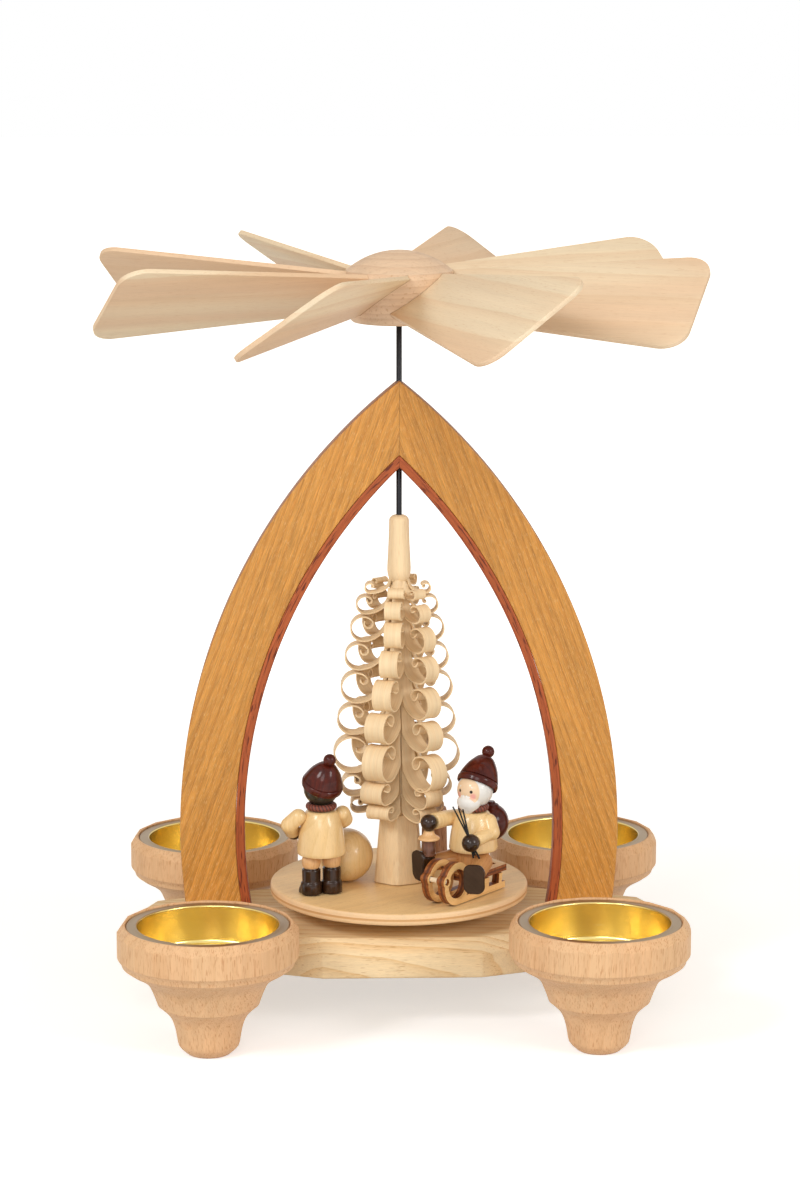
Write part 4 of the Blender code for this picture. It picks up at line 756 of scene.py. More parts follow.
def bend_leg(name, inner, outer, soft, side):
    middle = (inner + outer) / 2
    start, sweep = math.radians(-11.5), math.radians(-67.0)
    begin()
    bpy.ops.mesh.primitive_plane_add(size=1.0, rotation=(0.0, start, 0.0),
                                     location=((ARCH_CENTRE[0] - middle * math.cos(start)) * MM, 0.0,
                                               (ARCH_CENTRE[1] + middle * math.sin(start)) * MM))
    leg = bpy.context.object
    leg.name = name
    leg.scale = ((outer - inner) * MM, ARCH_DEPTH * MM, 1.0)
    bpy.ops.object.transform_apply(location=True, rotation=True, scale=True)
    edit(leg)
    bpy.ops.mesh.select_all(action='SELECT')
    bpy.ops.mesh.spin(steps=72, angle=sweep, center=(ARCH_CENTRE[0] * MM, 0.0, ARCH_CENTRE[1] * MM),
                      axis=(0.0, 1.0, 0.0))
    bpy.ops.object.mode_set(mode='OBJECT')
    ease(leg, soft, segments=3, angle=40)
    saw(leg, (0.0, 0.0, ARCH_FOOT), (0.0, 0.0, -1.0))
    saw(leg, (-SEAM, 0.0, 0.0), (1.0, 0.0, 0.0))
    if side > 0:
        leg.scale.x = -1.0
        bpy.ops.object.transform_apply(location=False, rotation=False, scale=True)
    edit(leg)
    bpy.ops.mesh.select_all(action='SELECT')
    bpy.ops.mesh.normals_make_consistent(inside=False)
    bpy.ops.object.mode_set(mode='OBJECT')
    return leg


def make_arch():
    for name, side in (("left", -1), ("right", 1)):
        for word, inner, outer, finish, soft in (("arch", 158.2, 175.0, HONEY, 0.4),
                                                 ("liner", 155.5, 158.15, RED_BROWN, 0.2)):
            leg = bend_leg(word + "_of_wood_" + name, inner, outer, soft, side)
            bore = turn("bore", [(0.0, 210.0), (1.15, 210.0), (1.15, 183.4), (2.2, 183.4), (2.2, 174.9),
                                 (1.15, 174.9), (1.15, 150.0), (0.0, 150.0)], 24)
            shape(leg, bore, 'DIFFERENCE')
            if word == "arch":
                cut_from_log(leg, along='Z', pith=(150, 45), tilt=20 * side)
            else:
                write_grain(leg, [along_liner(vertex.co, side) for vertex in leg.data.vertices])
            set_in_place(leg, finish, "stand", word + "_" + name, smooth=30)
            if word == "arch":
                # Painted shade: the faces across the board, its narrow sides, get the darker finish.
                leg.data.materials.append(HONEY_SIDES_SHADE)
                pick(leg, lambda face, middle: abs(face.normal.y) < 0.3)
                leg.active_material_index = 1
                bpy.ops.object.material_slot_assign()
                bpy.ops.object.mode_set(mode='OBJECT')
            print(word, name, "from", [round(value, 1) for value in leg.bound_box[0]], len(leg.data.polygons))


def along_liner(point, side):
    """The grain of a strip that was bent: how far along the bend, and how far out."""
    out, up = ARCH_CENTRE[0] * MM + point.x * side, point.z - ARCH_CENTRE[1] * MM
    return (math.atan2(up, out) * 0.157 + 0.4 * side, 0.06 + math.hypot(out, up) - 0.157, 0.05 + point.y)


make_arch()

# %% [markdown]
# Two countersunk steel screws come up through the plate into the feet of the arch. They only show from
# below: a flat head with a cross, which is two small blocks taken away from the turned screw.

# %% The arch screws
SCREW_FACE = 17.3


def make_screw(side_name, side):
    top = 45.3
    screw = turn("steel_screw_" + side_name, [(0.0, SCREW_FACE), (2.75, SCREW_FACE), (2.98, 17.45), (1.3, 19.1),
                                              (1.3, top - 1.3), (0.0, top)], 48)
    for wide, deep in ((1.7, 0.32), (0.32, 1.7)):
        shape(screw, slab("cross", (-wide, -deep, 16.0), (wide, deep, 18.3)), 'DIFFERENCE')
    cut_from_log(screw)
    return set_in_place(screw, STEEL, "stand", "arch_screw_" + side_name,
                        Matrix.Translation((side * LEG_X * MM, 0.0, 0.0)))


for side_name, side in (("left", -1), ("right", 1)):
    make_screw(side_name, side)
print("screw heads sit", round(SCREW_FACE - PLATE_LOW.z, 1), "mm inside the plate")

# %% [markdown]
# ## The shaft and what it turns
#
# One steel wire, pointed below like a pencil, carries everything that moves. It stands in the pivot, passes
# the bush in the arch, and ends inside the hub of the rotor.

# %% The shaft
def make_shaft():
    tip = [(0.0, 23.9), (0.1, 23.92), (0.16, 24.02)] + [(0.85, 25.5)]
    shaft = turn("steel_wire", tip + [(0.85, 224.9), (0.7, 225.1), (0.0, 225.15)], 32)
    cut_from_log(shaft)
    return set_in_place(shaft, STEEL, "carousel", "shaft")


SHAFT = make_shaft()
print("shaft length:", round(SHAFT.dimensions.z / MM, 1), "mm")

# %% [markdown]
# The turntable is a plywood disc with a rounded edge and a hole for the shaft. Its profile closes on itself,
# so the last ring is welded to the first.

# %% The turntable
def make_turntable():
    low, high = DISC_LOW[2] / MM, DISC_HIGH[2] / MM
    radius, soft = 39.1, 0.9
    rim = arc((radius - soft, high - soft), soft, 90, 0, 5) + arc((radius - soft, low + soft), soft, 0, -90, 5)
    profile = [(1.15, high), (12.0, high), (26.0, high)] + rim + [(26.0, low), (1.15, low)]
    disc = turn("plywood_disc", profile, 160, bored=True)
    cut_from_log(disc, along='X', pith=(60, 220))
    return set_in_place(disc, PLYWOOD, "carousel", "turntable", Matrix.Rotation(math.radians(38), 4, 'Z'))


TURNTABLE = make_turntable()
print("turntable faces:", len(TURNTABLE.data.polygons))

# %% [markdown]
# ## The rotor
#
# Eight blades stand in the slots of a hub, all pitched the same way, so that rising air turns them. A blade
# is a thin maple board: a block with two sides sawn to a taper and the outer corners rounded off.

# %% The blades
BLADE_PITCH = math.radians(35.0)
BLADE_LEVEL = 217.4
BLADES = 8
FIRST_HEADING = -22.3
BLADE_ROOT, BLADE_TIP = 8.0, 92.1
ROOT_HALF, TIP_HALF, BOARD_HALF = 9.2, 20.4, 20.6


def blade_place(index):
    heading = math.radians(FIRST_HEADING + 360 / BLADES * index)
    return (Matrix.Translation((0.0, 0.0, BLADE_LEVEL * MM)) @ Matrix.Rotation(heading, 4, 'Z')
            @ Matrix.Rotation(BLADE_PITCH, 4, 'X'))


def make_blade_board(name, root, thickness, spare=0.0):
    board = slab(name, (root, -BOARD_HALF - spare, -thickness / 2),
                 (BLADE_TIP, BOARD_HALF + spare, thickness / 2))
    taper = math.atan2(TIP_HALF - ROOT_HALF, BLADE_TIP - BLADE_ROOT)
    for side in (-1, 1):
        saw(board, (BLADE_ROOT, (ROOT_HALF + spare) * side, 0.0),
            (-math.sin(taper), math.cos(taper) * side, 0.0))
    return board


def make_blades():
    pattern = make_blade_board("blade_pattern", BLADE_ROOT, 1.5)
    pick(pattern, lambda edge, middle: middle.x / MM > BLADE_TIP - 0.1 and abs(middle.y / MM) > 15
         and abs(middle.z) < MM * 0.1, 'EDGE')
    bpy.ops.mesh.bevel(offset=8.5 * MM, segments=10)
    bpy.ops.object.mode_set(mode='OBJECT')
    ease(pattern, 0.22, segments=2, angle=40)
    for index in range(BLADES):
        blade = copy_of(pattern, "maple_blade_%d" % (index + 1))
        cut_from_log(blade, along='X', pith=(random.uniform(10, 60), 90))
        set_in_place(blade, MAPLE, "carousel", "blade_%d" % (index + 1), blade_place(index), smooth=30)
    bpy.data.objects.remove(pattern, do_unlink=True)


make_blades()

# %% [markdown]
# The hub is turned beech with a low dome, a short band and a side that narrows downwards. Its grain runs
# across, so the dome shows ring lines. The slots are cut at the pitch of the blades, with a block only about
# a tenth of a millimetre thicker than a blade, because the blades are glued in and no gap shows.

# %% The hub
def make_hub():
    radius, rise, top = 16.0, 6.2, 229.7
    dome_radius = (radius ** 2 + rise ** 2) / (2 * rise)
    edge = math.degrees(math.acos((radius - 0.6) / dome_radius))
    dome = arc((0.0, top - dome_radius), dome_radius, 90, edge, 14)
    low = 208.65
    side = [(15.85, dome[-1][1] - 0.25), (15.98, dome[-1][1] - 0.8), (15.98, 221.5), (14.5, low + 0.9),
            (14.2, low + 0.35), (13.8, low), (1.15, low), (1.15, 225.4), (0.0, 225.4)]
    hub = turn("beech_hub", dome + side, 128)
    for index in range(BLADES):
        cutter = make_blade_board("slot", 7.7, 1.62, 0.06)
        cutter.matrix_world = blade_place(index)
        shape(hub, cutter, 'DIFFERENCE')
    ease(hub, 0.05, segments=1, angle=50)
    cut_from_log(hub, along='X', pith=(6, 4))
    return set_in_place(hub, HUB_WOOD, "carousel", "rotor_hub", smooth=35)


HUB = make_hub()
print("hub faces:", len(HUB.data.polygons))

# %% [markdown]
# ## The curled tree
#
# This is the most skilful piece. The carver turns a stick, then pushes a chisel down it again and again
# without ever lifting the shavings off. Each shaving bends outwards and rolls itself up, and nine tiers in
# six columns make the tree. Between the columns the chisel leaves flat planes on the stem, and the top stays
# a plain round spire. Core and trunk lean differently, so each is turned and sawn on its own before they
# are joined.

# %% The stem
DISC_TOP = 37.8
GROUND = 38.1
COLUMNS = 6
CURLS_TOP, CURLS_BOTTOM, TREE_TOP = 93.2, 22.1, 112.8


def plane_off(stick, low, high, first):
    """Saw six flats on a stick; low and high are (distance from the axis, height) on each flat."""
    slope = math.atan2(low[0] - high[0], high[1] - low[1])
    for index in range(COLUMNS):
        heading = first + index * math.tau / COLUMNS
        outward = Vector((math.cos(heading), math.sin(heading), 0.0))
        saw(stick, outward * low[0] + Vector((0.0, 0.0, low[1])),
            outward * math.cos(slope) + Vector((0.0, 0.0, math.sin(slope))))


def make_stem():
    core = turn("core", [(0.0, 20.0), (4.9, 20.0), (2.7, 96.0), (0.0, 96.0)], 72)
    plane_off(core, (3.9, CURLS_BOTTOM), (2.0, CURLS_TOP), math.radians(4))
    trunk = turn("trunk", [(0.0, 0.3), (7.9, 0.3), (8.1, 0.5)] + flow([(8.05, 0.8), (7.6, 4.0), (7.0, 12.0),
                 (6.3, 21.4)]) + [(0.0, 21.4)], 96)
    plane_off(trunk, (7.25, 0.0), (5.45, 21.4), math.radians(-6.4))
    spire = turn("curled_tree", [(0.0, TREE_TOP), (0.9, TREE_TOP - 0.02)]
                 + arc((1.15, TREE_TOP - 1.9), 1.85, 82, 0, 8)
                 + flow([(3.05, 109.0), (3.2, 104.0), (3.45, 99.0), (3.55, 96.0), (3.2, 94.0), (2.4, 92.6)], 3)
                 + [(0.0, 92.4)], 96)
    shape(spire, core, 'UNION')
    shape(spire, trunk, 'UNION')
    ease(spire, 0.08, segments=1, angle=18)
    cut_from_log(spire, along='Z', pith=(4, 6))
    return spire


STEM = make_stem()
print("stem faces:", len(STEM.data.polygons))

# %% [markdown]
# One shaving is a strip pulled out of the stem: an edge that is extruded along its path, turned with the
# path, and widened or narrowed on the way. It stays narrow where its neighbours crowd it at the root, and
# it is a little hollow across, because it was cut from a round stick. The wood's fibres follow the strip,
# so its grain is written along the path. Solidify gives it the thickness of a shaving at the end.

# %% Pull one shaving
TIER_SHARES = (0.33, 0.53, 0.72, 0.75, 0.86, 0.83, 1.00, 0.62, 0.44)
REACH_SHARES = (0.53, 0.65, 0.74, 0.82, 0.89, 0.94, 1.00, 0.88, 0.74)
REACH = 19.3
LEAD_STEPS, RING_STEPS = 10, 30


def cone_radius(height):
    return 3.4 + 3.1 * (CURLS_TOP - height) / (CURLS_TOP - CURLS_BOTTOM)


def shaving_path(upper, lower, reach, sweep, hook):
    """Out of the stem and down, round the outside, and in to a small hook at the end."""
    ring = (upper - lower - 1.0) / 2
    centre = Vector((reach - 0.25 - ring, lower + 0.5 + ring))
    root = cone_radius(upper) * 0.74
    lead_top = centre.y + 1.35 * ring
    path = [(root - 1.1, lead_top + 1.2 + 0.4 * ring)]
    for i in range(LEAD_STEPS):
        angle = math.pi * (1 + i / LEAD_STEPS / 2)
        path.append((centre.x + (centre.x - root) * math.cos(angle), lead_top + 2.35 * ring * math.sin(angle)))
    across, high = centre.x, centre.y - ring
    bend = math.radians(sweep) / RING_STEPS
    for i in range(RING_STEPS + 1):
        path.append((across, high))
        turned = bend * (i + 0.5)
        tighter = min(1.0, max(0.0, (turned - math.radians(195)) / math.radians(60)))
        radius = ring * (1 - (1 - hook) * tighter)
        across += radius * bend * math.cos(turned)
        high += radius * bend * math.sin(turned)
    return path


def pull_shaving(name, path, half_width, spread):
    """A strip along the path; at the stem it fills its share of the round, the spread, and then narrows."""
    begin()
    bpy.ops.mesh.primitive_grid_add(x_subdivisions=1, y_subdivisions=4, size=1.0)
    strip = bpy.context.object
    strip.name = name
    pick(strip, lambda vertex, middle: middle.x < 0.0, 'VERT')
    bpy.ops.mesh.delete(type='VERT')
    for share, reach in ((1.0, 0.1), (0.75, 0.3)):
        pick(strip, lambda vertex, middle: reach - 0.2 < abs(middle.y) < reach, 'VERT')
        bpy.ops.transform.translate(value=(0.0, 0.0, share))
    bpy.ops.mesh.select_all(action='SELECT')
    bpy.ops.mesh.select_mode(type='EDGE')
    widths = []
    for i, (across, high) in enumerate(path):
        narrow = min(1.0, i / (LEAD_STEPS + 4))
        widths.append(min(across * math.tan(spread) + 0.05, half_width * (1.25 - 0.25 * narrow)))
    tail = len(path) - 6
    widths = [width * (1.0 if i < tail else 1.0 - 0.06 * (i - tail)) for i, width in enumerate(widths)]
    hollow = [0.10 + 0.55 * max(0.0, 1 - i / 14) for i in range(len(path))]
    angles = [math.atan2(b[1] - a[1], b[0] - a[0]) for a, b in zip(path, path[1:])]
    halfway = [a + (((b - a + math.pi) % math.tau) - math.pi) / 2 for a, b in zip(angles, angles[1:])]
    angles = [angles[0]] + halfway + [angles[-1]]
    start = Vector((path[0][0], 0.0, path[0][1])) * MM
    bpy.ops.transform.translate(value=start - Vector((0.5, 0.0, 0.0)))
    bpy.ops.transform.resize(value=(1.0, 2 * widths[0] * MM, hollow[0] * MM), center_override=start)
    bpy.ops.transform.rotate(value=angles[0], orient_axis='Y', center_override=start)
    for i in range(1, len(path)):
        here = Vector((path[i][0], 0.0, path[i][1])) * MM
        bpy.ops.mesh.extrude_region_move(TRANSFORM_OT_translate={"value": here - start})
        bend = ((angles[i] - angles[i - 1] + math.pi) % math.tau) - math.pi
        bpy.ops.transform.rotate(value=bend, orient_axis='Y', center_override=here)
        sag = hollow[i] / hollow[i - 1]
        bpy.ops.transform.resize(value=(sag, widths[i] / widths[i - 1], sag), center_override=here)
        start = here
    bpy.ops.object.mode_set(mode='OBJECT')
    gone = [0.0]
    for a, b in zip(path, path[1:]):
        gone.append(gone[-1] + math.dist(a, b))
    pith = Vector((random.uniform(-90, 90), random.uniform(12, 20), random.uniform(-20, 20)))
    write_grain(strip, [(pith + Vector((gone[vertex.index // 5], vertex.co.y / MM, 0.0))) * MM
                        for vertex in strip.data.vertices])
    apply_modifier(strip, 'SOLIDIFY', thickness=0.45 * MM, offset=0.0, use_even_offset=True)
    return strip


# %% [markdown]
# A tree needs many shavings that agree but never match. The tiers share one height between them, wider in the
# middle than at the ends, and the reach grows downwards to make the cone. The columns are uneven on purpose,
# as the carver's were: their headings, widths and drops were read off the picture. Each shaving ends in a
# hook, because the last of the curl springs in more tightly.

# %% Curl nine tiers in six columns
HEADINGS = (3, 68, 129, 179, 244, 308)
COLUMN_REACH = (0.94, 1.0, 1.0, 1.035, 1.0, 1.0)
COLUMN_WIDTHS = (0.84, 0.86, 0.84, 0.86, 0.92, 0.80)
COLUMN_DROPS = (0.6, -0.5, 0.3, 0.6, 1.0, 1.7)
FRONT_TURN = (19, 16, 15, 12, 5, 0, -1, -6, -4)
FRONT_DROP = (0.0, 0.7, 1.2, 1.5, 2.2, 2.3, 2.8, 0.9, 0.2)


def make_curls():
    upper = CURLS_TOP
    size = (CURLS_TOP - CURLS_BOTTOM) / sum(TIER_SHARES)
    curls = []
    for tier, (share, reach) in enumerate(zip(TIER_SHARES, REACH_SHARES)):
        lower = upper - size * share
        for column, heading in enumerate(HEADINGS):
            path = shaving_path(upper, lower, REACH * reach * COLUMN_REACH[column] + random.uniform(-0.2, 0.2),
                                random.uniform(400, 500), random.uniform(0.24, 0.36))
            full = cone_radius(upper) + 0.7 * (1 - tier / len(TIER_SHARES))
            half_width = 1.22 * math.pi * full / COLUMNS * COLUMN_WIDTHS[column]
            curl = pull_shaving("shaving_%d_%d" % (tier, column), path, half_width,
                                math.radians(25 + tier * 0.8))
            heading += (FRONT_TURN[tier] if column == 4 else 0.0) + random.uniform(-1.2, 1.2)
            drop = COLUMN_DROPS[column] + (FRONT_DROP[tier] if column == 5 else 0.0)
            curl.rotation_euler.z = math.radians(heading)
            curl.location.z = -drop * MM
            work_on(curl)
            bpy.ops.object.transform_apply(location=True, rotation=True, scale=True)
            curls.append(curl)
        upper = lower
    return curls


def join(pieces):
    begin()
    for piece in pieces:
        piece.select_set(True)
    bpy.context.view_layer.objects.active = pieces[0]
    bpy.ops.object.join()
    return pieces[0]


CURLS = make_curls()
TREE = set_in_place(join([STEM] + CURLS), SHAVING, "carousel", "tree",
                    Matrix.Translation((0.0, 0.0, DISC_TOP * MM)), smooth=32)
print("tree faces:", len(TREE.data.polygons))

# %% [markdown]
# Behind the tree stands a short stump with bark, and beside the child lies a snowball, turned from pale
# wood and varnished. The stump's bark is a ring of shallow flutes: every second strip of the turned side is
# pressed in. The stump's dark brown is painted shade, because it stands in the shade behind the tree.

# %% Stump and snowball
def make_stump():
    side = flow([(3.8, 17.4), (3.9, 10.0), (4.05, 4.0), (4.35, 0.1)], 6)
    profile = [(0.0, 18.4), (3.0, 18.5), (3.6, 18.3), (3.75, 17.8)] + side + [(0.0, 0.05)]
    stump = turn("stump_of_wood", profile, 66)
    pick(stump, lambda vertex, middle: middle.z < 18.0 * MM
         and math.sin(11 * math.atan2(middle.y, middle.x)) > 0.3, 'VERT')
    bpy.ops.transform.resize(value=(0.93, 0.93, 1.0), center_override=(0.0, 0.0, 0.0))
    bpy.ops.object.mode_set(mode='OBJECT')
    cut_from_log(stump, along='Z', pith=(0, 0))
    # The stump's dark brown finish is painted shade.
    return set_in_place(stump, STUMP_SHADED_BROWN, "carousel", "stump",
                        Matrix.Translation(Vector((11.4, 16.0, GROUND)) * MM), smooth=50)


def make_snowball():
    profile = arc((0.0, 0.0), 8.15, 90, -71.5, 24) + [(0.0, -7.73)]
    ball = turn("turned_snowball", profile, 96)
    cut_from_log(ball, along='Z', pith=(3, 4))
    return set_in_place(ball, LACQUERED, "carousel", "snowball",
                        Matrix.Translation(Vector((-16.0, -0.5, 45.86)) * MM))


make_stump()
make_snowball()

# %% [markdown]
# ## Paint for the figures
#
# The figures are turned wood, stained or painted and then dipped in lacquer, so all of them have a clear
# glossy skin with a little wood showing through. The heads are painted. A spot of paint is a soft-edged
# circle round a point of the head, measured in the head's own millimetres, which each piece keeps in an
# attribute called local. One group makes every spot.

# %% Spots of paint
def build_spot():
    spot, given, out = new_group("Paint spot", [("Centre", 'Vector', (0.0, 0.0, 0.0)), ("Radius", 'Float', 1.0),
                                                ("Softness", 'Float', 0.1)], [("Mask", 'Float')])
    local = node(spot, "Attribute", attribute_name="local").outputs["Vector"]
    place = vector(spot, 'MULTIPLY', local, (1000.0, 1000.0, 1000.0))
    away = vector(spot, 'LENGTH', vector(spot, 'SUBTRACT', place, given["Centre"]))
    wobble = maths(spot, 'MULTIPLY', noise(spot, place, scale=1.3).outputs["Fac"], 0.12)
    edge = maths(spot, 'SUBTRACT', maths(spot, 'ADD', away, wobble), given["Radius"])
    spot.links.new(maths(spot, 'SUBTRACT', 1.0, maths(spot, 'DIVIDE', edge, given["Softness"], clamp=True)),
                   out["Mask"])
    return spot


SPOT = build_spot()


def painted_head(name, ground, spots, roughness=0.32):
    """Paint over a ground colour; the spots are (centre, radius, softness, colour), laid on in turn."""
    material, tree, shader = paint(name, roughness, Coat_Weight=0.3, Coat_Roughness=0.12, Specular_IOR_Level=0.2)
    where = node(tree, "TexCoord").outputs["Object"]
    brushed = noise(tree, where, scale=900.0, detail=3.0).outputs["Fac"]
    colour = blend(tree, ramp(tree, brushed, 0.35, 0.75, 0.0, 0.35), (*ground, 1.0),
                   (*[value * 0.86 for value in ground], 1.0))
    for centre, radius, softness, tint in spots:
        dab = node(tree, "Group", node_tree=SPOT)
        for label, value in (("Centre", centre), ("Radius", radius), ("Softness", softness)):
            dab.inputs[label].default_value = value
        colour = blend(tree, dab.outputs["Mask"], colour, (*tint, 1.0))
    tree.links.new(colour, shader.inputs["Base Color"])
    relief(tree, shader, brushed, 0.03, 0.35)
    return material


FLESH = (0.86, 0.64, 0.43)
WHITE = (0.84, 0.84, 0.83)
PINK = (0.86, 0.42, 0.36)
EYE_BLACK = (0.02, 0.012, 0.008)


def both_sides(forward, out, high, radius, softness, tint):
    return [((forward, side * out, high), radius, softness, tint) for side in (-1, 1)]


FACE = [((4.9, 0.0, 0.2), 4.3, 0.12, FLESH)] + both_sides(4.7, 2.5, -0.9, 0.6, 0.7, PINK)
FACE += both_sides(4.95, 2.0, 0.45, 0.5, 0.1, EYE_BLACK)
BEARD_PAINT = [((5.6, 0.0, -6.0), 4.7, 0.15, WHITE)] + both_sides(4.9, 2.1, 1.85, 0.34, 0.15, WHITE)
BEARD_PAINT += both_sides(5.2, 0.5, -1.1, 0.45, 0.1, WHITE) + both_sides(5.1, 1.2, -1.3, 0.45, 0.1, WHITE)
BEARD_PAINT += [((5.5, 0.0, -1.85), 0.36, 0.1, (0.5, 0.03, 0.02))]
MAN_HEAD = painted_head("head_of_the_bearded_man", WHITE, FACE + BEARD_PAINT)
CHILD_HEAD = painted_head("head_of_the_child", (0.035, 0.026, 0.016), FACE)
print("heads:", MAN_HEAD.name, CHILD_HEAD.name)

# %% [markdown]
# The lacquered colours are stains: thicker stain looks darker, and the grain shows through a little. Dark
# red hats and sack, dark brown boots and mittens, and the reddish cord of the scarves are made here. The
# scarf is a twisted cord, so its stripes run slantwise round the ring. The darker colour in the grooves
# between its strands is painted shade.

# %% Stain and lacquer
def stained(name, light, dark, roughness=0.3, coat=0.35, fibres=0.3):
    """A lacquered stain that is lighter where the wood took less of it."""
    material, tree, shader = paint(name, roughness, Coat_Weight=coat, Coat_Roughness=0.09, Specular_IOR_Level=0.1)
    wood = grow(tree, Early=light, Late=dark, Mark=dark, Ring_Width=1.4, Ring_Strength=0.5, Fibre_Strength=fibres,
                Mark_Length=1.6, Mark_Width=0.3, Mark_Amount=0.3, Mark_Strength=0.5)
    where = node(tree, "TexCoord").outputs["Object"]
    pooled = ramp(tree, noise(tree, where, scale=260.0, detail=2.0).outputs["Fac"], 0.35, 0.7)
    tree.links.new(blend(tree, maths(tree, 'MULTIPLY', pooled, 0.6), wood.outputs["Color"], (*dark, 1.0)),
                   shader.inputs["Base Color"])
    relief(tree, shader, wood.outputs["Height"], 0.006)
    return material


def twisted_cord(name, light, dark, turns=26.0):
    material, tree, shader = paint(name, 0.6)
    local = node(tree, "Attribute", attribute_name="local").outputs["Vector"]
    part = node(tree, "SeparateXYZ", {0: vector(tree, 'MULTIPLY', local, (1000.0, 1000.0, 1000.0))}).outputs
    round_it = maths(tree, 'ARCTAN2', part["Y"], part["X"])
    out = maths(tree, 'SUBTRACT', maths(tree, 'SQRT', maths(tree, 'ADD', maths(tree, 'POWER', part["X"], 2.0),
                                                            maths(tree, 'POWER', part["Y"], 2.0))), 3.7)
    across = maths(tree, 'ARCTAN2', part["Z"], out)
    wave = maths(tree, 'SINE', maths(tree, 'ADD', maths(tree, 'MULTIPLY', round_it, turns),
                                     maths(tree, 'MULTIPLY', across, 2.0)))
    # Painted shade: the dark colour lies in the grooves between the strands, where the relief is low.
    strand = ramp(tree, wave, -0.9, 0.5)
    fuzz = noise(tree, local, scale=3500.0, detail=3.0).outputs["Fac"]
    share = maths(tree, 'MULTIPLY', strand, ramp(tree, fuzz, 0.3, 0.7, 0.5, 1.0))
    tree.links.new(blend(tree, share, (*dark, 1.0), (*light, 1.0)), shader.inputs["Base Color"])
    relief(tree, shader, maths(tree, 'ADD', strand, maths(tree, 'MULTIPLY', fuzz, 0.3)), 0.12)
    return material


DARK_RED = stained("dark_red_lacquer", (0.098, 0.013, 0.006), (0.030, 0.004, 0.003), coat=0.28)
BOOT = stained("dark_brown_lacquer", (0.042, 0.017, 0.007), (0.014, 0.006, 0.003), coat=0.5)
SOLE = stained("flat_brown_sole", (0.060, 0.036, 0.022), (0.045, 0.026, 0.016), roughness=0.7, coat=0.0)
# The second colour of the cord is the painted shade in its grooves.
CORD = twisted_cord("twisted_cord", (0.27, 0.065, 0.035), (0.085, 0.02, 0.013))
print("lacquers:", DARK_RED.name, BOOT.name, CORD.name)

# %% [markdown]
# ## Both figures
#
# A figure is a handful of turned parts: a bell-shaped coat with narrow shoulders, a ring of cord for a
# scarf, a ball for a head, and a pointed hat whose lower edge is rolled and marked off by a fine groove.
# Sleeves are short rods with rounded ends, joined at the elbow. The child and the bearded man share these
# parts, so each is written once and takes its sizes.

# %% Coat, scarf and hat
def make_coat(name, bottom, height, frame, node_name):
    shoulder = [(0.0, height), (4.1, height), (4.45, height - 0.12), (4.8, height - 0.5)]
    side = flow([(4.8, height - 0.5), (5.5, height * 0.85), (6.3, height * 0.65), (6.95, height * 0.35),
                 (7.3, height * 0.08)], 6)
    hem = [(7.28, 0.55), (7.15, 0.2), (6.85, 0.03), (6.4, 0.0), (0.0, 0.0)]
    coat = turn(name, shoulder + side[1:] + hem, 96)
    cut_from_log(coat, along='Z', pith=(3, 5))
    return set_in_place(coat, LACQUERED, "carousel", node_name,
                        frame @ Matrix.Translation((0.0, 0.0, bottom * MM)))


def make_scarf(name, level, frame, node_name):
    cord = turn(name, arc((3.7, 0.0), 1.0, 90, -270, 16)[:-1], 96, bored=True)
    write_local(cord)
    cut_from_log(cord)
    return set_in_place(cord, CORD, "carousel", node_name, frame @ Matrix.Translation((0.0, 0.0, level * MM)))


def make_hat(name, height, place, node_name, lift=0.53):
    """A pointed hat; its rim sits as high above the middle of the head as the lift."""
    bobble = arc((0.0, height + 1.2), 1.9, 90, -50, 12)
    bell = flow([(1.25, height - 0.2), (2.7, height * 0.89), (4.55, height * 0.62), (5.62, height * 0.36),
                 (5.95, 2.25)], 6)
    groove = [(5.98, 2.1), (5.68, 1.92), (6.08, 1.72)]
    roll = flow([(6.2, 1.5), (6.3, 0.9), (6.22, 0.3)], 3) + arc((5.75, 0.1), 0.45, 10, -110, 6)
    start = math.degrees(math.asin((lift + 0.2) / 5.62))
    hollow = arc((0.0, -lift), 5.62, start, 88, 10) + [(0.0, 5.62 - lift)]
    hat = turn(name, bobble + bell + groove + roll + hollow, 96)
    cut_from_log(hat, along='Z', pith=(2, 4))
    return set_in_place(hat, DARK_RED, "carousel", node_name, place @ Matrix.Translation((0.0, 0.0, lift * MM)))


print("scarf ring: 3.7 mm to the middle of the cord, 1.0 mm thick")

# %% [markdown]
# A sleeve is two short rods that meet at the elbow, and a mitten is a ball with its wrist cut flat. Both are
# placed by the points they run through: shoulder, elbow and wrist, in the figure's own millimetres. The
# Python helper only turns two such points into a place, so the points can be read off the picture.

# %% Rods with rounded ends
def along(start, end):
    """A place at the start whose Z axis looks at the end."""
    start, end = Vector(start) * MM, Vector(end) * MM
    return Matrix.Translation(start) @ (end - start).to_track_quat('Z', 'Y').to_matrix().to_4x4()


def make_rod(name, start, end, low_radius, high_radius, soft_low, soft_high, segments=48):
    """A tapered rod whose ends are rounded off by their own radii."""
    length = (Vector(end) - Vector(start)).length
    low = arc((low_radius - soft_low, soft_low), soft_low, -90, 0, 6)
    high = arc((high_radius - soft_high, length - soft_high), soft_high, 0, 90, 6)
    rod = turn(name, [(0.0, 0.0)] + low + high + [(0.0, length)], segments)
    rod.matrix_world = along(start, end)
    begin()
    rod.select_set(True)
    bpy.ops.object.transform_apply(location=True, rotation=True, scale=True)
    return rod


def make_sleeve(name, route, radius, frame, node_name, slim=1.0):
    shoulder, elbow, wrist = [Vector(point) for point in route]
    back = (shoulder - elbow).normalized() * radius
    sleeve = make_rod(name, shoulder + back, elbow - back, radius, radius, radius - 0.05, radius - 0.05)
    thin = radius * slim
    forearm = make_rod("forearm", elbow - (wrist - elbow).normalized() * thin, wrist, thin, thin * 1.04,
                       thin - 0.05, 0.5)
    shape(sleeve, forearm, 'UNION')
    cut_from_log(sleeve, along='Z', pith=(3, 3))
    return set_in_place(sleeve, LACQUERED, "carousel", node_name, frame, smooth=35)


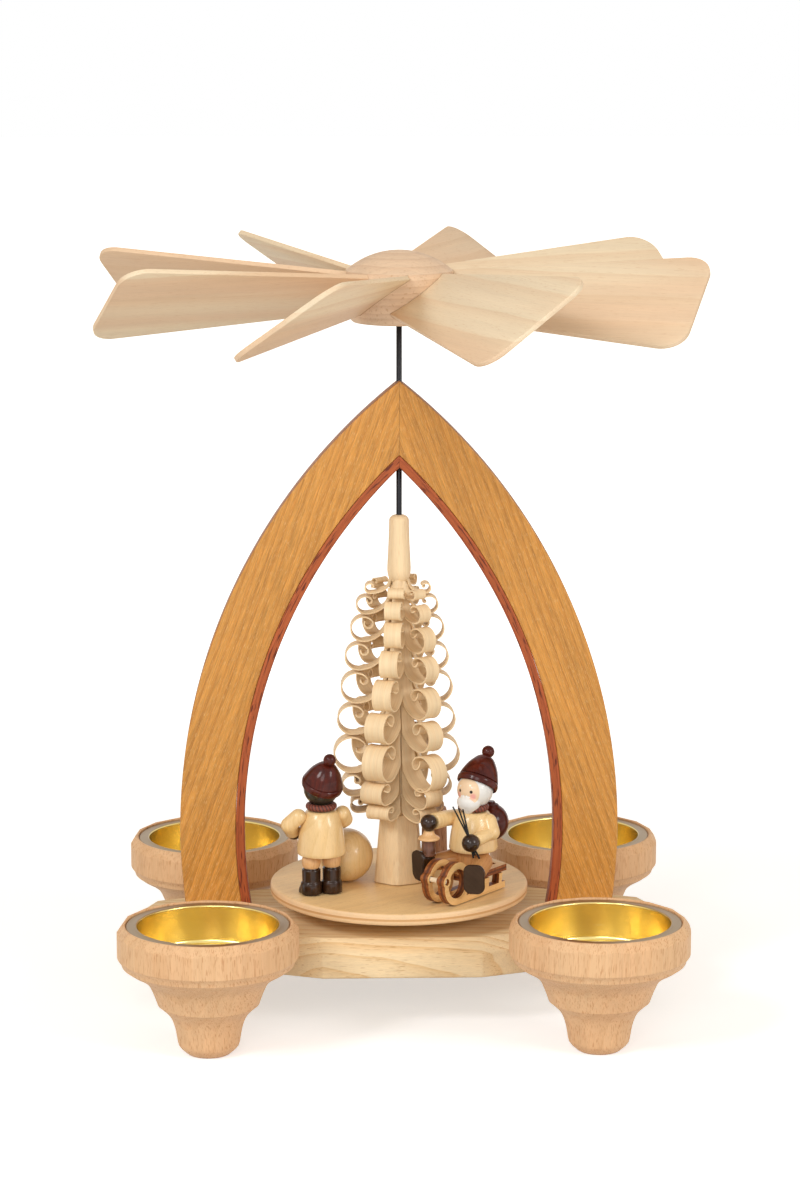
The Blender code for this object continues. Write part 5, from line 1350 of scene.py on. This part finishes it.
def make_mitten(name, route, radius, frame, node_name):
    elbow, wrist = Vector(route[1]), Vector(route[2])
    centre = wrist + (wrist - elbow).normalized() * radius * 0.8
    ball = turn(name, arc((0.0, 0.0), radius, 90, -62, 16) + [(radius * 0.42, -radius * 1.05),
                                                              (0.0, -radius * 1.05)], 64)
    place = frame @ along(centre, centre + (centre - wrist))
    cut_from_log(ball)
    return set_in_place(ball, BOOT, "carousel", node_name, place), centre


print("figure parts are ready")

# %% [markdown]
# ## The child
#
# The child stands with the back to the viewer and reaches for the snowball. Each leg is a bulging trouser
# leg in a boot with a small step at its top, a welt and a toe. The toe is a stretched ball, fused to the
# boot and sawn level with the sole.

# %% The child
CHILD = Matrix.Translation(Vector((-23.7, -15.0, GROUND)) * MM) @ Matrix.Rotation(math.radians(16.6), 4, 'Z')
CHILD_HEAD_LEVEL = 32.27
CHILD_ARMS = {"left": ((-7.2, 0.0, 24.0), (-9.8, 1.2, 21.4), (-7.3, 5.3, 18.4)),
              "right": ((6.6, 0.0, 23.9), (7.9, 1.8, 21.7), (8.2, 5.8, 20.2))}


def make_child_leg(side_name, side):
    frame = CHILD @ Matrix.Translation((side * 3.2 * MM, 0.0, 0.0))
    trousers = turn("trouser_leg_" + side_name, [(0.0, 11.8), (2.2, 11.8)]
                    + flow([(2.45, 11.7), (2.75, 10.8), (2.82, 9.6), (2.55, 8.4), (2.0, 7.7)], 4) + [(0.0, 7.6)], 64)
    cut_from_log(trousers, along='Z', pith=(1, 3))
    set_in_place(trousers, PEACH, "carousel", "child_leg_" + side_name, frame)
    top = [(0.0, 8.15), (1.9, 8.15), (2.2, 8.08), (2.3, 7.85), (2.34, 7.72), (2.6, 7.66), (2.76, 7.5),
           (2.8, 7.2)]
    heel = [(2.75, 4.0), (2.78, 3.75), (3.05, 3.55), (3.17, 3.25), (3.18, 0.4), (3.08, 0.1), (2.9, 0.0),
            (0.0, 0.0)]
    boot = turn("boot_" + side_name, top + heel, 72)
    toe = turn("toe", arc((0.0, 0.0), 3.0, 90, -90, 18), 64)
    toe.matrix_world = Matrix.Translation((0.0, 2.4 * MM, 0.0)) @ Matrix.Diagonal((1.03, 1.20, 1.12, 1.0))
    shape(boot, toe, 'UNION')
    saw(boot, (0.0, 0.0, 0.0), (0.0, 0.0, -1.0))
    ease(boot, 0.12, segments=2, angle=50)
    cut_from_log(boot)
    return set_in_place(boot, BOOT, "carousel", "child_leg_" + side_name, frame, smooth=50)


for side_name, side in (("left", -1), ("right", 1)):
    make_child_leg(side_name, side)
    make_sleeve("child_sleeve_" + side_name, CHILD_ARMS[side_name], 2.4, CHILD, "child_arm_" + side_name)
    make_mitten("child_mitten_" + side_name, CHILD_ARMS[side_name], 2.2, CHILD, "child_arm_" + side_name)
make_coat("coat_of_the_child", 12.1, 13.4, CHILD, "child_coat")
make_scarf("scarf_of_the_child", 26.8, CHILD, "child_scarf")


def make_child_head():
    head = turn("round_head_of_the_child", arc((0.0, 0.0), 5.3, 90, -90, 36), 96)
    write_local(head)
    cut_from_log(head)
    face_forward = Matrix.Rotation(math.pi / 2, 4, 'Z')
    return set_in_place(head, CHILD_HEAD, "carousel", "child_head",
                        CHILD @ Matrix.Translation((0.0, 0.0, CHILD_HEAD_LEVEL * MM)) @ face_forward)


make_child_head()
make_hat("hat_of_the_child", 8.4, CHILD @ Matrix.Translation((0.0, 0.0, CHILD_HEAD_LEVEL * MM))
         @ Matrix.Rotation(math.radians(9), 4, 'Y') @ Matrix.Rotation(math.radians(22), 4, 'X'), "child_hat")

# %% [markdown]
# ## The sled
#
# The sled is cut from thin plywood with a hot cutter, which leaves the flat sides pale and burns every cut
# edge red-brown. The finish therefore asks which way a face looks: a face across the sheet is burnt. This
# is kept per face, in an attribute that is written before the sled is turned into its place.

# %% Burnt edges
def burnt_plywood(name):
    material, tree, shader = paint(name, 0.5, Coat_Weight=0.08, Coat_Roughness=0.2, Specular_IOR_Level=0.3)
    wood = grow(tree, Early=(0.88, 0.56, 0.24), Late=(0.70, 0.42, 0.15), Mark=(0.50, 0.25, 0.08), Ring_Width=2.4,
                Ring_Strength=0.5, Fibre_Strength=0.16, Mark_Length=1.0, Mark_Width=0.2, Mark_Amount=0.3,
                Mark_Strength=0.4)
    burnt = node(tree, "Attribute", attribute_name="burnt").outputs["Fac"]
    across = node(tree, "Attribute", attribute_name="sheet").outputs["Fac"]
    heat = noise(tree, node(tree, "TexCoord").outputs["Object"], scale=900.0, detail=3.0).outputs["Fac"]
    char = blend(tree, ramp(tree, heat, 0.35, 0.65), (0.36, 0.115, 0.025, 1.0), (0.19, 0.05, 0.012, 1.0))
    core = ramp(tree, maths(tree, 'ABSOLUTE', across), 0.45, 0.2)
    char = blend(tree, maths(tree, 'MULTIPLY', core, 0.75), char, (0.075, 0.020, 0.008, 1.0))
    tree.links.new(blend(tree, burnt, wood.outputs["Color"], char), shader.inputs["Base Color"])
    relief(tree, shader, maths(tree, 'ADD', wood.outputs["Height"], maths(tree, 'MULTIPLY', heat, burnt)), 0.03)
    return material


BURNT = burnt_plywood("burnt_plywood")


def burn_edges(piece, flat_axis, middle, half):
    """Mark the faces that don't lie along the sheet, and how far each corner is from the sheet's middle."""
    burnt = piece.data.attributes.new("burnt", 'FLOAT', 'FACE')
    burnt.data.foreach_set("value", [0.0 if abs(face.normal[flat_axis]) > 0.8 else 1.0
                                     for face in piece.data.polygons])
    sheet = piece.data.attributes.new("sheet", 'FLOAT', 'POINT')
    sheet.data.foreach_set("value", [(vertex.co[flat_axis] / MM - middle) / half
                                     for vertex in piece.data.vertices])


# %% [markdown]
# A runner is a flat ring with a rail below it, two leaning posts, and a small eye that holds the crossbar.
# It is built once, and the far one is a copy.

# %% Runners
SLED = Matrix.Translation(Vector((21.8, -16.3, GROUND)) * MM) @ Matrix.Rotation(math.radians(-128), 4, 'Z')
SCROLL = (14.1, 6.45)
SHEET = 1.25
BAR = (19.29, 8.04)


def upright_disc(name, profile, along_x, height, middle):
    """A turned part laid on its side, so that its axis runs across the sled."""
    disc = turn(name, profile, 72, bored=True)
    disc.matrix_world = (Matrix.Translation(Vector((along_x, middle, height)) * MM)
                         @ Matrix.Rotation(math.pi / 2, 4, 'X'))
    begin()
    disc.select_set(True)
    bpy.ops.object.transform_apply(location=True, rotation=True, scale=True)
    return disc


def make_runner():
    runner = upright_disc("runner", [(4.4, -SHEET), (4.4, SHEET), (6.45, SHEET), (6.45, -SHEET)], *SCROLL, 0.0)
    shape(runner, slab("rail", (-10.8, -SHEET, 0.0), (14.1, SHEET, 2.0)), 'UNION')
    for rear, front in ((-9.0, -7.4), (-2.2, 0.2)):
        post = slab("post", (rear, -SHEET, 1.9), (front, SHEET, 4.8))
        pick(post, lambda vertex, middle: middle.z > 4.0 * MM, 'VERT')
        bpy.ops.transform.translate(value=(-0.4 * MM, 0.0, 0.0))
        bpy.ops.object.mode_set(mode='OBJECT')
        shape(runner, post, 'UNION')
    boss = upright_disc("boss", [(1.0, -SHEET), (1.0, SHEET), (1.8, SHEET), (1.8, -SHEET)], *BAR, 0.0)
    shape(runner, boss, 'UNION')
    eye = upright_disc("eye", [(0.0, -2.0), (0.0, 2.0), (1.0, 2.0), (1.0, -2.0)], *BAR, 0.0)
    shape(runner, eye, 'DIFFERENCE')
    ease(runner, 0.07, segments=1, angle=40)
    burn_edges(runner, 1, 0.0, SHEET)
    return runner


RUNNER = make_runner()
for side_name, side in (("far", -1), ("near", 1)):
    twin = copy_of(RUNNER, "burnt_runner_" + side_name)
    cut_from_log(twin, along='X', pith=(8, 30))
    set_in_place(twin, BURNT, "carousel", "sled_runner_" + side_name,
                 SLED @ Matrix.Translation((0.0, side * 2.95 * MM, 0.0)), smooth=30)
bpy.data.objects.remove(RUNNER, do_unlink=True)


# %% [markdown]
# The seat is a thin board with a slot behind, and the crossbar is a round stick through both eyes.

# %% Seat and crossbar
def make_seat():
    seat = slab("burnt_seat", (-11.6, -4.2, 5.1), (7.35, 4.2, 7.1))
    shape(seat, slab("slot", (-10.0, -1.3, 4.0), (-8.2, 1.3, 8.0)), 'DIFFERENCE')
    ease(seat, 0.1, segments=1, angle=40)
    burn_edges(seat, 2, 6.1, 1.0)
    cut_from_log(seat, along='X', pith=(10, 40))
    return set_in_place(seat, BURNT, "carousel", "sled_seat", SLED, smooth=30)


def make_crossbar():
    bar = make_rod("maple_crossbar", (BAR[0], -3.6, BAR[1]), (BAR[0], 3.6, BAR[1]), 0.75, 0.75, 0.15, 0.15, 32)
    cut_from_log(bar, along='Y', pith=(2, 3))
    return set_in_place(bar, MAPLE, "carousel", "sled_crossbar", SLED)


make_seat()
make_crossbar()
RUNNER_LOW, RUNNER_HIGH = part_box("sled_runner_near")
print("sled is", round((RUNNER_HIGH - RUNNER_LOW).x / MM, 1), "mm across in X")

# %% [markdown]
# ## The bearded man
#
# The bearded man sits on the sled with a leg over each side, a sack behind, a lantern in one hand and twigs
# in the other. It is a plain folk figure with painted eyes and cheeks. The boots are flat rounded blocks set
# square on the legs, glossy on the sides and matt under the sole. Sleeves and coat follow the child's, and
# a short turned piece of trouser wood fills the space between the coat, the legs and the seat.

# %% Legs and boots
MAN_ARMS = {"near": ((-0.6, 5.2, 22.6), (0.2, 6.9, 19.7), (6.8, 5.7, 18.4)),
            "far": ((0.5, -5.8, 22.6), (4.8, -6.8, 22.9), (10.4, -7.3, 23.0))}


def rounded_block(name, half_wide, half_high, low, high, corner, soft):
    """A block with its four long edges rounded off widely and its rims a little."""
    block = slab(name, (-half_wide, -half_high, low), (half_wide, half_high, high))
    pick(block, lambda edge, middle: abs(middle.x) > 0.9 * half_wide * MM
         and abs(middle.y) > 0.9 * half_high * MM, 'EDGE')
    bpy.ops.mesh.bevel(offset=corner * MM, segments=10)
    bpy.ops.object.mode_set(mode='OBJECT')
    ease(block, soft, segments=4, angle=40)
    return block


def make_man_leg(side_name, side):
    hip, sole = Vector((0.4, side * 4.0, 10.6)), Vector((14.5, side * 10.3, 9.1 - 0.55 * side))
    length = (sole - hip).length
    leg = turn("trouser_" + side_name, [(0.0, 0.0), (2.4, 0.0), (2.85, 0.25), (3.0, 0.8)]
               + flow([(3.0, 1.0), (2.75, 6.0), (2.35, 12.0), (2.2, length - 3.0)], 4)
               + [(0.0, length - 2.8)], 64)
    cut_from_log(leg, along='Z', pith=(2, 3))
    set_in_place(leg, TROUSER, "carousel", "man_leg_" + side_name, SLED @ along(hip, sole))
    boot = rounded_block("shoe_" + side_name, 3.2, 4.6, length - 3.4, length - 0.25, 2.3, 0.7)
    pick(boot, lambda vertex, middle: middle.z < (length - 2.2) * MM, 'VERT')
    bpy.ops.transform.resize(value=(0.84, 0.84, 1.0), center_override=(0.0, 0.0, 0.0))
    bpy.ops.object.mode_set(mode='OBJECT')
    ankle = turn("ankle", [(0.0, length - 5.6), (2.35, length - 5.6), (2.6, length - 5.3), (2.6, length - 2.5),
                           (0.0, length - 2.5)], 48)
    shape(boot, ankle, 'UNION')
    ease(boot, 0.1, segments=2, angle=35)
    cut_from_log(boot)
    set_in_place(boot, BOOT, "carousel", "man_leg_" + side_name, SLED @ along(hip, sole), smooth=45)
    flat = rounded_block("shoe_sole_" + side_name, 3.05, 4.45, length - 0.6, length, 2.2, 0.12)
    cut_from_log(flat)
    set_in_place(flat, SOLE, "carousel", "man_leg_" + side_name, SLED @ along(hip, sole), smooth=45)


for side_name, side in (("far", -1), ("near", 1)):
    make_man_leg(side_name, side)
    make_sleeve("man_sleeve_" + side_name, MAN_ARMS[side_name], 2.4, SLED, "man_arm_" + side_name,
                slim=0.82 if side > 0 else 1.0)
NEAR_HAND = make_mitten("man_mitten_near", MAN_ARMS["near"], 2.7, SLED, "man_arm_near")[1]
FAR_HAND = make_mitten("man_mitten_far", MAN_ARMS["far"], 2.5, SLED, "man_arm_far")[1]
make_coat("coat_of_the_man", 13.5, 11.8, SLED, "man_coat")
BREECHES = turn("breeches_of_the_man", [(0.0, 7.12), (4.0, 7.12), (4.5, 7.6), (4.8, 9.5), (4.9, 13.9),
                                        (0.0, 13.9)], 64)
cut_from_log(BREECHES, along='Z', pith=(2, 3))
set_in_place(BREECHES, TROUSER, "carousel", "man_coat", SLED)
make_scarf("scarf_of_the_man", 26.6, SLED, "man_scarf")
print("hands at", [round(value, 1) for value in NEAR_HAND], [round(value, 1) for value in FAR_HAND])

# %% [markdown]
# The head starts as a turned ball. Beard and moustache are turned and pushed into it, and a voxel remesh
# melts them together, as filler and paint do on the real one. A few rounds of smoothing take out the
# steps that the remesh leaves.

# %% Head, hat and sack
def lump(name, profile, stretch, place, lean=0.0, segments=48):
    """A turned blob, stretched, leant about Y and moved; it is glued to something afterwards."""
    blob = turn(name, profile, segments)
    blob.matrix_world = (Matrix.Translation(Vector(place) * MM) @ Matrix.Rotation(math.radians(lean), 4, 'Y')
                         @ Matrix.Diagonal((*stretch, 1.0)))
    begin()
    blob.select_set(True)
    bpy.ops.object.transform_apply(location=True, rotation=True, scale=True)
    return blob


MAN_HEAD_AT = Vector((-0.3, 0.4, 31.8))


def make_man_head():
    head = turn("round_head_of_the_man", arc((0.0, 0.0), 5.4, 90, -90, 36), 96)
    beard = lump("beard", [(0.0, 0.7), (2.2, 0.4)] + flow([(3.0, -0.2), (3.7, -1.2), (3.5, -2.6), (2.5, -3.9),
                 (1.2, -4.9)], 5) + [(0.5, -5.25), (0.0, -5.3)], (0.85, 1.0, 1.0), (3.0, 0.0, -1.6), -11.0)
    moustache = [make_rod("moustache", (5.2, 0.15 * side, -1.25), (4.75, 1.9 * side, -1.55), 0.42, 0.2, 0.3,
                          0.15, 24) for side in (-1, 1)]
    for part in [beard] + moustache:
        shape(head, part, 'UNION')
    apply_modifier(head, 'REMESH', mode='VOXEL', voxel_size=0.14 * MM)
    apply_modifier(head, 'SMOOTH', iterations=6)
    write_local(head)
    cut_from_log(head)
    return set_in_place(head, MAN_HEAD, "carousel", "man_head", SLED @ Matrix.Translation(MAN_HEAD_AT * MM),
                        smooth=60)


def make_sack():
    neck = flow([(2.3, 5.3), (1.5, 5.7), (1.2, 6.2)], 3) + [(0.0, 6.3)]
    sack = turn("dark_red_sack", arc((0.0, 0.0), 5.5, -90, 62, 26) + neck, 96)
    cut_from_log(sack, along='Z', pith=(2, 3))
    return set_in_place(sack, DARK_RED, "carousel", "man_sack",
                        SLED @ Matrix.Translation(Vector((-9.0, 0.0, 20.0)) * MM) @ Matrix.Diagonal((1, 1, 1.04, 1)))


HEAD = make_man_head()
make_hat("hat_of_the_man", 9.6, SLED @ Matrix.Translation(MAN_HEAD_AT * MM)
         @ Matrix.Rotation(math.radians(-33), 4, 'Y'), "man_hat", lift=1.5)
make_sack()
print("head faces:", len(HEAD.data.polygons))

# %% [markdown]
# The lantern hangs from the far mitten: a light wooden cap over a dark lacquered body. The near mitten holds
# three thin black twigs, which are rods that cross inside the hand and fan out above it.

# %% Lantern and twigs
BROWN = stained("brown_lacquer", (0.17, 0.065, 0.032), (0.08, 0.028, 0.014), coat=0.6)
BLACK = stained("black_stain", (0.016, 0.014, 0.013), (0.006, 0.006, 0.006), roughness=0.4, coat=0.3)


def make_lantern():
    roof = [(0.0, 7.6), (1.3, 7.6), (1.5, 7.45)] + flow([(1.6, 7.2), (1.85, 6.6), (2.35, 6.1), (3.0, 5.75)], 4)
    cap = turn("lantern_cap", roof + arc((2.85, 5.3), 0.42, 60, -100, 7) + [(2.1, 4.8), (0.0, 4.8)], 72)
    body = turn("lantern_body", [(0.0, 4.8), (1.6, 4.8), (1.85, 4.65), (1.95, 4.4), (1.95, 0.8), (2.1, 0.6),
                                 (2.1, 0.1), (2.0, 0.0), (0.0, 0.0)], 72)
    hung = SLED @ Matrix.Translation((FAR_HAND + Vector((0.0, 0.0, -10.1))) * MM)
    for part, finish in ((cap, PEACH), (body, BROWN)):
        cut_from_log(part, along='Z', pith=(1, 2))
        set_in_place(part, finish, "carousel", "lantern", hung, smooth=35)


def make_twigs():
    fan = Vector((-0.6, 0.8, 0.0))
    twigs = []
    for rank, above, below, spread in ((-1, 12.3, 5.4, 1.5), (0, 11.4, 4.0, 0.1), (1, 10.6, 4.6, 1.2)):
        twigs.append(make_rod("black_twigs", fan * -rank * 0.6 * spread + Vector((0.0, 0.0, -below)),
                              fan * rank * spread + Vector((0.1 * rank, 0.0, above)), 0.3, 0.24, 0.08, 0.08, 12))
    bundle = join(twigs)
    cut_from_log(bundle, along='Z', pith=(1, 1))
    lean = Matrix.Rotation(math.radians(12), 4, 'Y') @ Matrix.Rotation(math.radians(15), 4, 'X')
    return set_in_place(bundle, BLACK, "carousel", "twigs", SLED @ Matrix.Translation(NEAR_HAND * MM) @ lean)


make_lantern()
make_twigs()
DRESSED = [item for item in bpy.data.objects if item.get("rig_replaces")]
print("both bodies carry", len(DRESSED), "dressed pieces")

# %% [markdown]
# ## Hidden brass
#
# Two small parts stay as the frame gives them: the bush inside the arch and the pivot in the plate. Only
# their finish is changed, because almost nothing of them shows.

# %% Finish the carried-over nodes
for name in ("upper_bush", "pivot_bearing"):
    cut = frame["nodes"][name]
    for slot in cut.material_slots:
        slot.material = BRASS
print("brass parts: upper_bush, pivot_bearing")

# %% [markdown]
# ## The studio
#
# The photograph was taken on white with large soft lamps. The floor is a pale matt sheet. It glows a little,
# but only for the camera and in reflections, so it turns white without lighting the object, and the soft
# shadow of the object stays on it. The world does the same: dim for light that falls on wood, and plain
# white where the camera or the brass looks at it.

# %% Floor and world
def seen_directly(tree):
    """One where the camera looks straight at a thing or sees it in a mirror or through glass."""
    path = node(tree, "LightPath").outputs
    seen = maths(tree, 'MAXIMUM', path["Is Camera Ray"], path["Is Glossy Ray"])
    return maths(tree, 'MAXIMUM', seen, path["Is Transmission Ray"])


def make_floor():
    begin()
    bpy.ops.mesh.primitive_plane_add(size=8.0, location=(0.0, 0.0, 0.0))
    floor = bpy.context.object
    floor.name = "paper_floor"
    material, tree, shader = paint("matt_paper", 0.9)
    where = node(tree, "TexCoord").outputs["Object"]
    fibres = noise(tree, where, scale=400.0, detail=3.0).outputs["Fac"]
    paper = blend(tree, fibres, (0.79, 0.81, 0.84, 1.0), (0.82, 0.84, 0.87, 1.0))
    tree.links.new(paper, shader.inputs["Base Color"])
    away = vector(tree, 'LENGTH', where)
    glow = maths(tree, 'MULTIPLY', seen_directly(tree), ramp(tree, away, 0.16, 0.55, 0.50, 1.0))
    tree.links.new(node(tree, "CombineColor", {0: glow, 1: glow, 2: glow}).outputs[0],
                   shader.inputs["Emission Color"])
    shader.inputs["Emission Strength"].default_value = 1.0
    shader.inputs["Specular IOR Level"].default_value = 0.1
    floor.data.materials.append(material)
    return floor


def make_world():
    world = bpy.data.worlds.new("white_studio")
    bpy.context.scene.world = world
    world.use_nodes = True
    tree = world.node_tree
    strength = maths(tree, 'ADD', AMBIENT, maths(tree, 'MULTIPLY', seen_directly(tree), 1.0 - AMBIENT))
    background = tree.nodes["Background"]
    tree.links.new(blend(tree, seen_directly(tree), WARM, grey(1.0)), background.inputs["Color"])
    tree.links.new(strength, background.inputs["Strength"])
    return world


AMBIENT = 0.44
WARM = (1.0, 0.85, 0.66, 1.0)
FLOOR = make_floor()
make_world()
print("floor is", round(FLOOR.dimensions.x), "m across")

# %% [markdown]
# Two large lamps stand in front to the left and right, a third beside the camera lifts the front, and a weak
# one from above draws the edges of the rotor. Large lamps give the soft edges of a studio tent, and their
# strength is set so that the palest wood stays just below white.

# %% Lamps
def make_lamp(name, place, size, watts):
    begin()
    bpy.ops.object.light_add(type='AREA', location=place)
    lamp = bpy.context.object
    lamp.name = name
    lamp.data.shape = 'DISK'
    lamp.data.size = size
    lamp.data.energy = watts
    aim = Vector((0.0, 0.0, 0.11)) - Vector(place)
    lamp.rotation_euler = aim.to_track_quat('-Z', 'Y').to_euler()
    return lamp


make_lamp("key_softbox", (-0.85, -0.95, 0.95), 0.42, 7.6)
make_lamp("fill_softbox", (0.95, -0.80, 0.60), 0.42, 4.9)
make_lamp("front_softbox", (-0.25, -1.45, 0.65), 0.6, 4.4)
make_lamp("top_softbox", (0.10, 0.10, 1.25), 0.8, 1.0)

# %% [markdown]
# ## The camera
#
# The photograph looks a little down on the object from about a metre, through a long lens, so the arch
# hardly tapers. The eye point comes from fitting the known sizes of the part to the picture. The lens is
# moved sideways by less than a hundredth of the frame, as the picture was cropped.

# %% Camera and render colours
EYE = Vector((-0.0333, -1.0791, 0.3335))
GAZE = Vector((0.0287, 0.9813, -0.190))


def make_camera():
    begin()
    bpy.ops.object.camera_add(location=EYE, rotation=GAZE.to_track_quat('-Z', 'Y').to_euler())
    camera = bpy.context.object
    camera.name = "viewpoint"
    camera.data.lens = 109.88
    camera.data.sensor_width = 36.0
    camera.data.shift_x = 6.8 / 1200
    bpy.context.scene.camera = camera
    return camera


make_camera()
bpy.context.scene.view_settings.view_transform = 'Standard'
print("camera stands", round(EYE.length, 3), "m from the origin")
